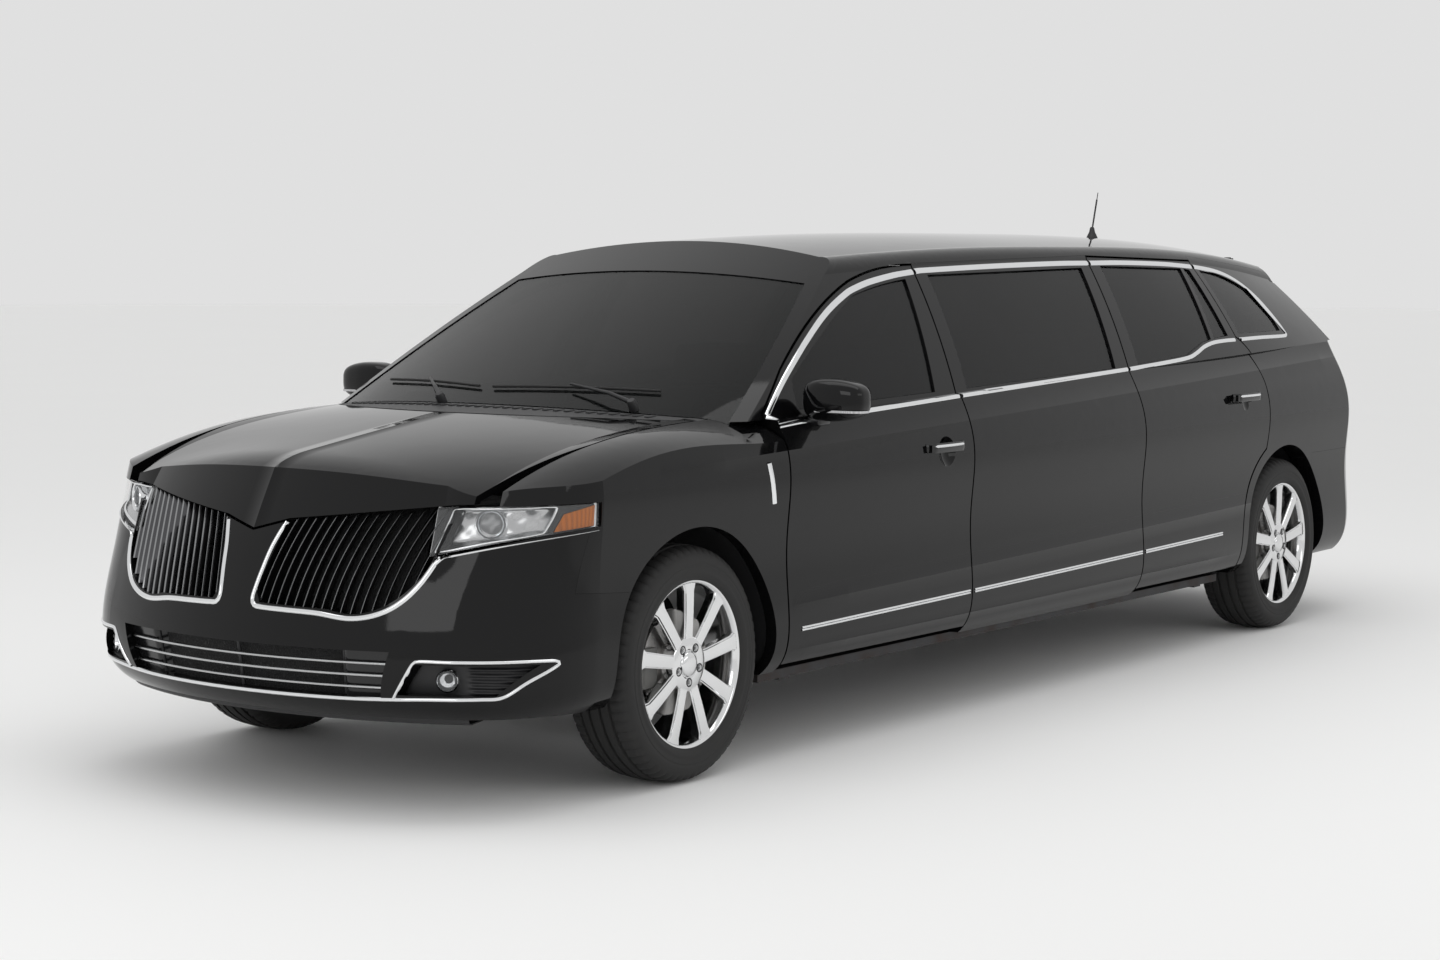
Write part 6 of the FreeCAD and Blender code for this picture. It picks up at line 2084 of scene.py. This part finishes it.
@dataclass
class Carpets:
    """Carpet over the cabin's floor, its front wall and the load floor, with mats and a headlining."""

    half: float = 0.735
    load_half: float = 0.60

    def build(self) -> None:
        """Makes the linings of the cabin."""
        carpet, mats, lining = Form(), Form(), Form()

        def floor(u: float, v: float) -> Vector:
            """Rearwards with u and across with v."""
            y = (2 * v - 1) * self.half
            b = 0.492 + 3.34 * u
            tunnel = 0.026 * smoothstep((0.13 - abs(y)) / 0.05)
            return at(b, y, 0.2825 + tunnel + 0.0012 * math.sin(37 * b) * math.sin(23 * y))

        carpet.sheet(110, 40, floor)
        carpet.sheet(4, 30, lambda u, v: at(0.4785 + 0.002 * u, (2 * v - 1) * self.half, 0.29 + 0.34 * u))
        carpet.sheet(60, 30, lambda u, v: at(3.83 + 1.40 * u, (2 * v - 1) * self.load_half,
                                             0.6645 + 0.001 * math.sin(40 * u)))
        carpet.sheet(30, 12, lambda u, v: at(3.8285, (2 * u - 1) * self.load_half, 0.285 + 0.38 * v))
        for b0, b1, y0, y1 in ((0.99, 1.25, 0.17, 0.60), (0.99, 1.25, -0.60, -0.17),
                               (2.84, 3.14, -0.55, 0.55)):
            mats.block(at(b1, y0, 0.2850), at(b0, y1, 0.2925), 0.003)
        roof = Skin("roof")

        def ceiling(u: float, v: float) -> Vector:
            """The headlining, a little under the roof's inner face."""
            b = 1.30 + 3.42 * u
            y = (2 * v - 1) * (0.55 - 0.05 * u)
            return roof.look(at(b, y, 1.2), UP, 0.004) or at(b, y, 1.57)

        lining.sheet(90, 30, ceiling)
        carpet.piece("floor_carpets", "body", CARPET, 50.0)
        mats.piece("floor_mats", "body", MAT)
        lining.piece("headlining", "body", LINING, 60.0)


@dataclass
class DoorTrim:
    """The inside of a door: a padded panel, arm rest, pull and speaker."""

    end: str
    start: float
    stop: float
    low: float = 0.36
    high: float = 1.075

    def build(self) -> None:
        """Makes the left trim and its twin."""
        skin = Skin(f"{self.end}_left_door")
        board, rest, bright, mesh = (Form() for _ in range(4))

        def inner(b: float, z: float, lift: float) -> Vector:
            """The door's inner face, lifted inboard off it."""
            spot = skin.look(at(b, 0.2, z), OUTWARDS, lift)
            return spot if spot is not None and spot.y < 0.93 else None

        last_y = 0.80

        def panel(u: float, v: float) -> Vector:
            """Along the door with u, up it with v; where there is no face it goes on at the last depth."""
            nonlocal last_y
            b = self.start + (self.stop - self.start) * u
            z = self.low + (self.high - self.low) * v
            edge = smoothstep(min(u, 1 - u, 0.7 * v, 0.7 * (1 - v)) / 0.045)
            swell = 0.010 * smoothstep((v - 0.52) / 0.1) + 0.006 * smoothstep((0.34 - v) / 0.1)
            spot = inner(b, z, 0.001 + (0.009 + swell) * edge)
            last_y = last_y if spot is None else spot.y
            return at(b, last_y, z)

        board.sheet(56, 40, panel)
        middle = (self.start + self.stop) / 2 + 0.05
        z = 0.72
        base = inner(middle, z, 0.0).y
        rest.block(at(middle + 0.22, base - 0.052, z - 0.030), at(middle - 0.26, base - 0.004, z + 0.026),
                   0.016, 3)
        bright.block(at(middle - 0.13, base - 0.034, z + 0.120), at(middle - 0.24, base - 0.012, z + 0.142),
                     0.005, 2)
        speaker = inner(self.start + 0.17, 0.45, 0.012)
        mesh.lathe([(0.082, 0.0), (0.082, 0.006), (0.074, 0.009), (0.0, 0.010)], speaker, INWARDS, 48)
        door = self.end + "_{}_door"
        board.pair(door + "_trim", DASH_SKIN, door, slot="black_leather")
        rest.pair(door + "_arm_rest", LEATHER, door)
        bright.pair(door + "_pull", SATIN, door)
        mesh.pair(door + "_speaker", INSERT, door)


# ---------------------------------------------------------------- engine bay and screen
@dataclass
class EngineBay:
    """What shows under the raised bonnet: a covered engine, intake, battery, tanks and radiator."""

    def build(self) -> None:
        """Makes the engine; it stands for the plain block."""
        block, cover, plastic, bright, hoses, caps = (Form() for _ in range(6))
        block.block(at(0.20, -0.30, 0.315), at(-0.32, 0.36, 0.70), 0.03, 3)
        block.block(at(0.16, 0.20, 0.330), at(-0.30, 0.375, 0.60), 0.05, 3)
        for i in range(6):
            b = -0.24 + 0.08 * i
            block.rod(at(b, -0.26, 0.62), at(b, 0.30, 0.62), 0.034, sides=20)
        for i in range(9):
            block.block(at(-0.325, -0.27 + 0.07 * i, 0.36), at(-0.338, -0.262 + 0.07 * i, 0.66), 0.002)

        def shell(u: float, v: float) -> Vector:
            """The ribbed plastic cover over the engine."""
            b, y = -0.30 + 0.46 * u, -0.27 + 0.58 * v
            edge = min(u, 1 - u, v, 1 - v)
            rib = 0.006 * smoothstep(math.sin(v * 44.0) * 1.5) * smoothstep((edge - 0.08) / 0.05)
            crown = 0.035 * math.sin(math.pi * u) * math.sin(math.pi * v) ** 0.5
            return at(b, y, 0.74 + 0.07 * smoothstep(edge / 0.09) + crown + rib)

        cover.sheet(60, 90, shell)
        cover.thicken(0.004)
        plastic.block(at(0.10, -0.375, 0.60), at(-0.18, -0.285, 0.84), 0.022, 3)
        plastic.block(at(-0.10, 0.33, 0.62), at(-0.38, 0.376, 0.84), 0.015, 3)
        for i in range(5):
            plastic.block(at(-0.12 - 0.05 * i, 0.322, 0.66), at(-0.13 - 0.05 * i, 0.332, 0.80), 0.003)
        path = flowing([(-0.19, -0.30, 0.79), (-0.24, -0.20, 0.845), (-0.27, -0.05, 0.850),
                        (-0.27, 0.10, 0.845), (-0.31, 0.24, 0.80), (-0.33, 0.33, 0.75)], 6)
        self.pipe(hoses, path, 0.027, ribbed=True)
        lower = flowing([(-0.36, -0.30, 0.72), (-0.33, -0.22, 0.76), (-0.31, -0.10, 0.74),
                         (-0.30, 0.02, 0.70)], 6)
        self.pipe(hoses, lower, 0.019)
        for y in (-0.13, 0.05, 0.23):
            caps.lathe([(0.012, 0.0), (0.012, 0.004), (0.008, 0.007), (0.0, 0.007)], at(-0.20, y, 0.822), UP,
                       24)
        caps.lathe([(0.031, 0.0), (0.031, 0.014), (0.026, 0.020), (0.0, 0.021)], at(0.02, 0.19, 0.838), UP,
                   36)
        caps.lathe([(0.027, 0.0), (0.027, 0.016), (0.022, 0.022), (0.0, 0.023)], at(0.0, -0.33, 0.838), UP,
                   36)
        bright.rod(at(-0.42, -0.37, 0.352), at(-0.42, 0.37, 0.352), 0.010, sides=16)
        for i in range(46):
            z = 0.37 + 0.009 * i
            bright.block(at(-0.405, -0.36, z), at(-0.418, 0.36, z + 0.0025))
        casting = block.piece("engine_casting", "body", CASTING, 45.0)
        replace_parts(casting, "engine_block")
        cover.piece("engine_cover", "body", PLASTIC, 45.0)
        plastic.piece("bay_boxes", "body", GLOSS_PLASTIC, 45.0)
        bright.piece("radiator_fins", "body", STEEL, 45.0, slot="iron")
        hoses.piece("bay_hoses", "body", SEAL, 45.0)
        caps.piece("filler_caps", "body", PLASTIC, 45.0)

    def pipe(self, form: Form, path: Sequence[tuple], radius: float, ribbed: bool = False) -> None:
        """Adds a hose along a run of (behind, y, z) points.

        Args:
            form: what it is added to.
            path: its middle line.
            radius: its outside.
            ribbed: whether it is corrugated.
        """
        count = len(path) * (6 if ribbed else 2)

        def place(u: float, v: float) -> Vector:
            """Along the hose with u and round it with v."""
            here = at(*along(path, u))
            ahead = (at(*along(path, min(1.0, u + 0.02))) - at(*along(path, max(0.0, u - 0.02)))).normalized()
            side = ahead.cross(UP).normalized()
            up = side.cross(ahead)
            swell = radius * (1.0 + (0.07 * math.sin(u * count * 1.2) if ribbed else 0.0))
            return here + side * swell * math.cos(math.tau * v) + up * swell * math.sin(math.tau * v)

        form.sheet(count, 20, place)


@dataclass
class ScreenWipers:
    """The two windscreen wipers: spindle caps, cranked arms and rubber blades."""

    steps: int = 16

    def build(self) -> None:
        """Makes them from the plain ones' places; they stand for them."""
        glass = Skin("windscreen", "cowl", "hood")
        arms, blades = Form(), Form()

        def screen(y: float, z: float, lift: float) -> Vector:
            """The windscreen's outer face."""
            return glass.look(at(-0.6, y, z), BACKWARDS, lift)

        for pivot_y, ends in ((0.52, (0.55, -0.05)), (-0.18, (-0.11, -0.63))):
            head = screen(pivot_y, 1.128, 0.026)
            arms.lathe([(0.016, -0.030), (0.016, 0.0), (0.012, 0.010), (0.0, 0.011)], head,
                       Vector((0.5, 0, 0.866)), 28)
            middle_y = sum(ends) / 2
            grip = screen(middle_y, 1.182, 0.021)
            knee = head + (grip - head) * 0.35 + Vector((0.006, 0, 0.010))
            arms.rod(head, knee, 0.0085, 0.0065, 12)
            arms.rod(knee, grip, 0.0060, 0.0040, 12)
            shares = [i / self.steps for i in range(self.steps + 1)]
            run = [screen(ends[0] + (ends[1] - ends[0]) * share, 1.176 + 0.006 * math.sin(math.pi * share),
                          0.009) for share in shares]
            for start, end in zip(run, run[1:]):
                blades.rod(start, end, 0.0045, sides=8)
        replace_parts(arms.piece("wiper_arms", "body", PLASTIC), "wipers")
        blades.piece("wiper_blades", "body", SEAL)


@dataclass
class CowlLouvres:
    """The row of louvres across the cowl, in front of the windscreen's foot."""

    count: int = 34
    half: float = 0.62
    middle: float = 0.072
    sweep: float = 0.30

    def build(self) -> None:
        """Makes the louvres along the curve of the windscreen's foot."""
        louvres = Form()
        skin = Skin("cowl")
        for i in range(self.count):
            y = self.half * (2 * i / (self.count - 1) - 1)
            spot = skin.top(self.middle + self.sweep * y * y, y)
            louvres.block(spot + Vector((-0.022, -0.011, -0.0040)), spot + Vector((0.022, 0.005, 0.0035)),
                          0.0012, 1)
        louvres.piece("cowl_louvres", "body", PLASTIC)


# ---------------------------------------------------------------- all of it
FINISHES = {
    HOOD_PAINT: ("hood",),
    SIDE_PAINT: ("fenders", "quarter_panels", "centre_side_panels", "front_left_door", "front_right_door",
                 "rear_left_door", "rear_right_door"),
    PAINT: ("front_bumper", "roof", "tailgate", "rear_bumper"),
    SCREEN_TINT: ("windscreen",),
    TINT: ("fixed_side_windows", "tailgate_window", "front_left_window", "front_right_window",
           "rear_left_window", "rear_right_window"),
    PLASTIC: ("cowl", "wheelhouses", "dashboard"),
    WAXED: ("floor_pan", "hinge_brackets", "front_suspension", "rear_suspension"),
    CASTING: ("left_knuckle", "right_knuckle"),
    STEEL: ("exhaust",),
}


def dress_frame() -> None:
    """Gives each CAD node that shows its own finish."""
    for finish, names in FINISHES.items():
        for name in names:
            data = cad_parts[name].data
            data.materials.clear()
            data.materials.append(finish.material())


def main() -> None:
    """Builds the car's pieces in order."""
    logging.basicConfig(level=logging.INFO, format="%(message)s")
    Studio().build()
    dress_frame()
    nose = Nose()
    outside = [WindowSurround(), SideMoulding(), DoorHandle("front", 1.437, 0.948),
               DoorHandle("rear", 3.907, 1.012), FenderBar(), Wheel(), DoorMirror(), TailLamp(), Tailgate(),
               RearBumper(), RoofTrim(), ScreenWipers(), CowlLouvres()]
    inside = [Seat("driver_seat", 1.190, 0.370, 0.265, SeatKind.BUCKET),
              Seat("passenger_seat", 1.190, -0.370, 0.265, SeatKind.BUCKET),
              Seat("facing_bench", 2.810, 0.0, 0.630, SeatKind.FACING_BENCH),
              Seat("rear_bench", 3.170, 0.0, 0.630, SeatKind.REAR_BENCH),
              Dashboard(), SteeringWheel(), Carpets(), DoorTrim("front", 0.62, 1.53),
              DoorTrim("rear", 3.06, 3.72), EngineBay()]
    for part in outside + inside:
        part.build()
        log.info("%s built", type(part).__name__)
    for part in (UpperGrille(), LowerGrille(), FogPod(), Headlamp(), FrontLip()):
        part.build(nose)
        log.info("%s built", type(part).__name__)


if __name__ == "__main__":
    main()
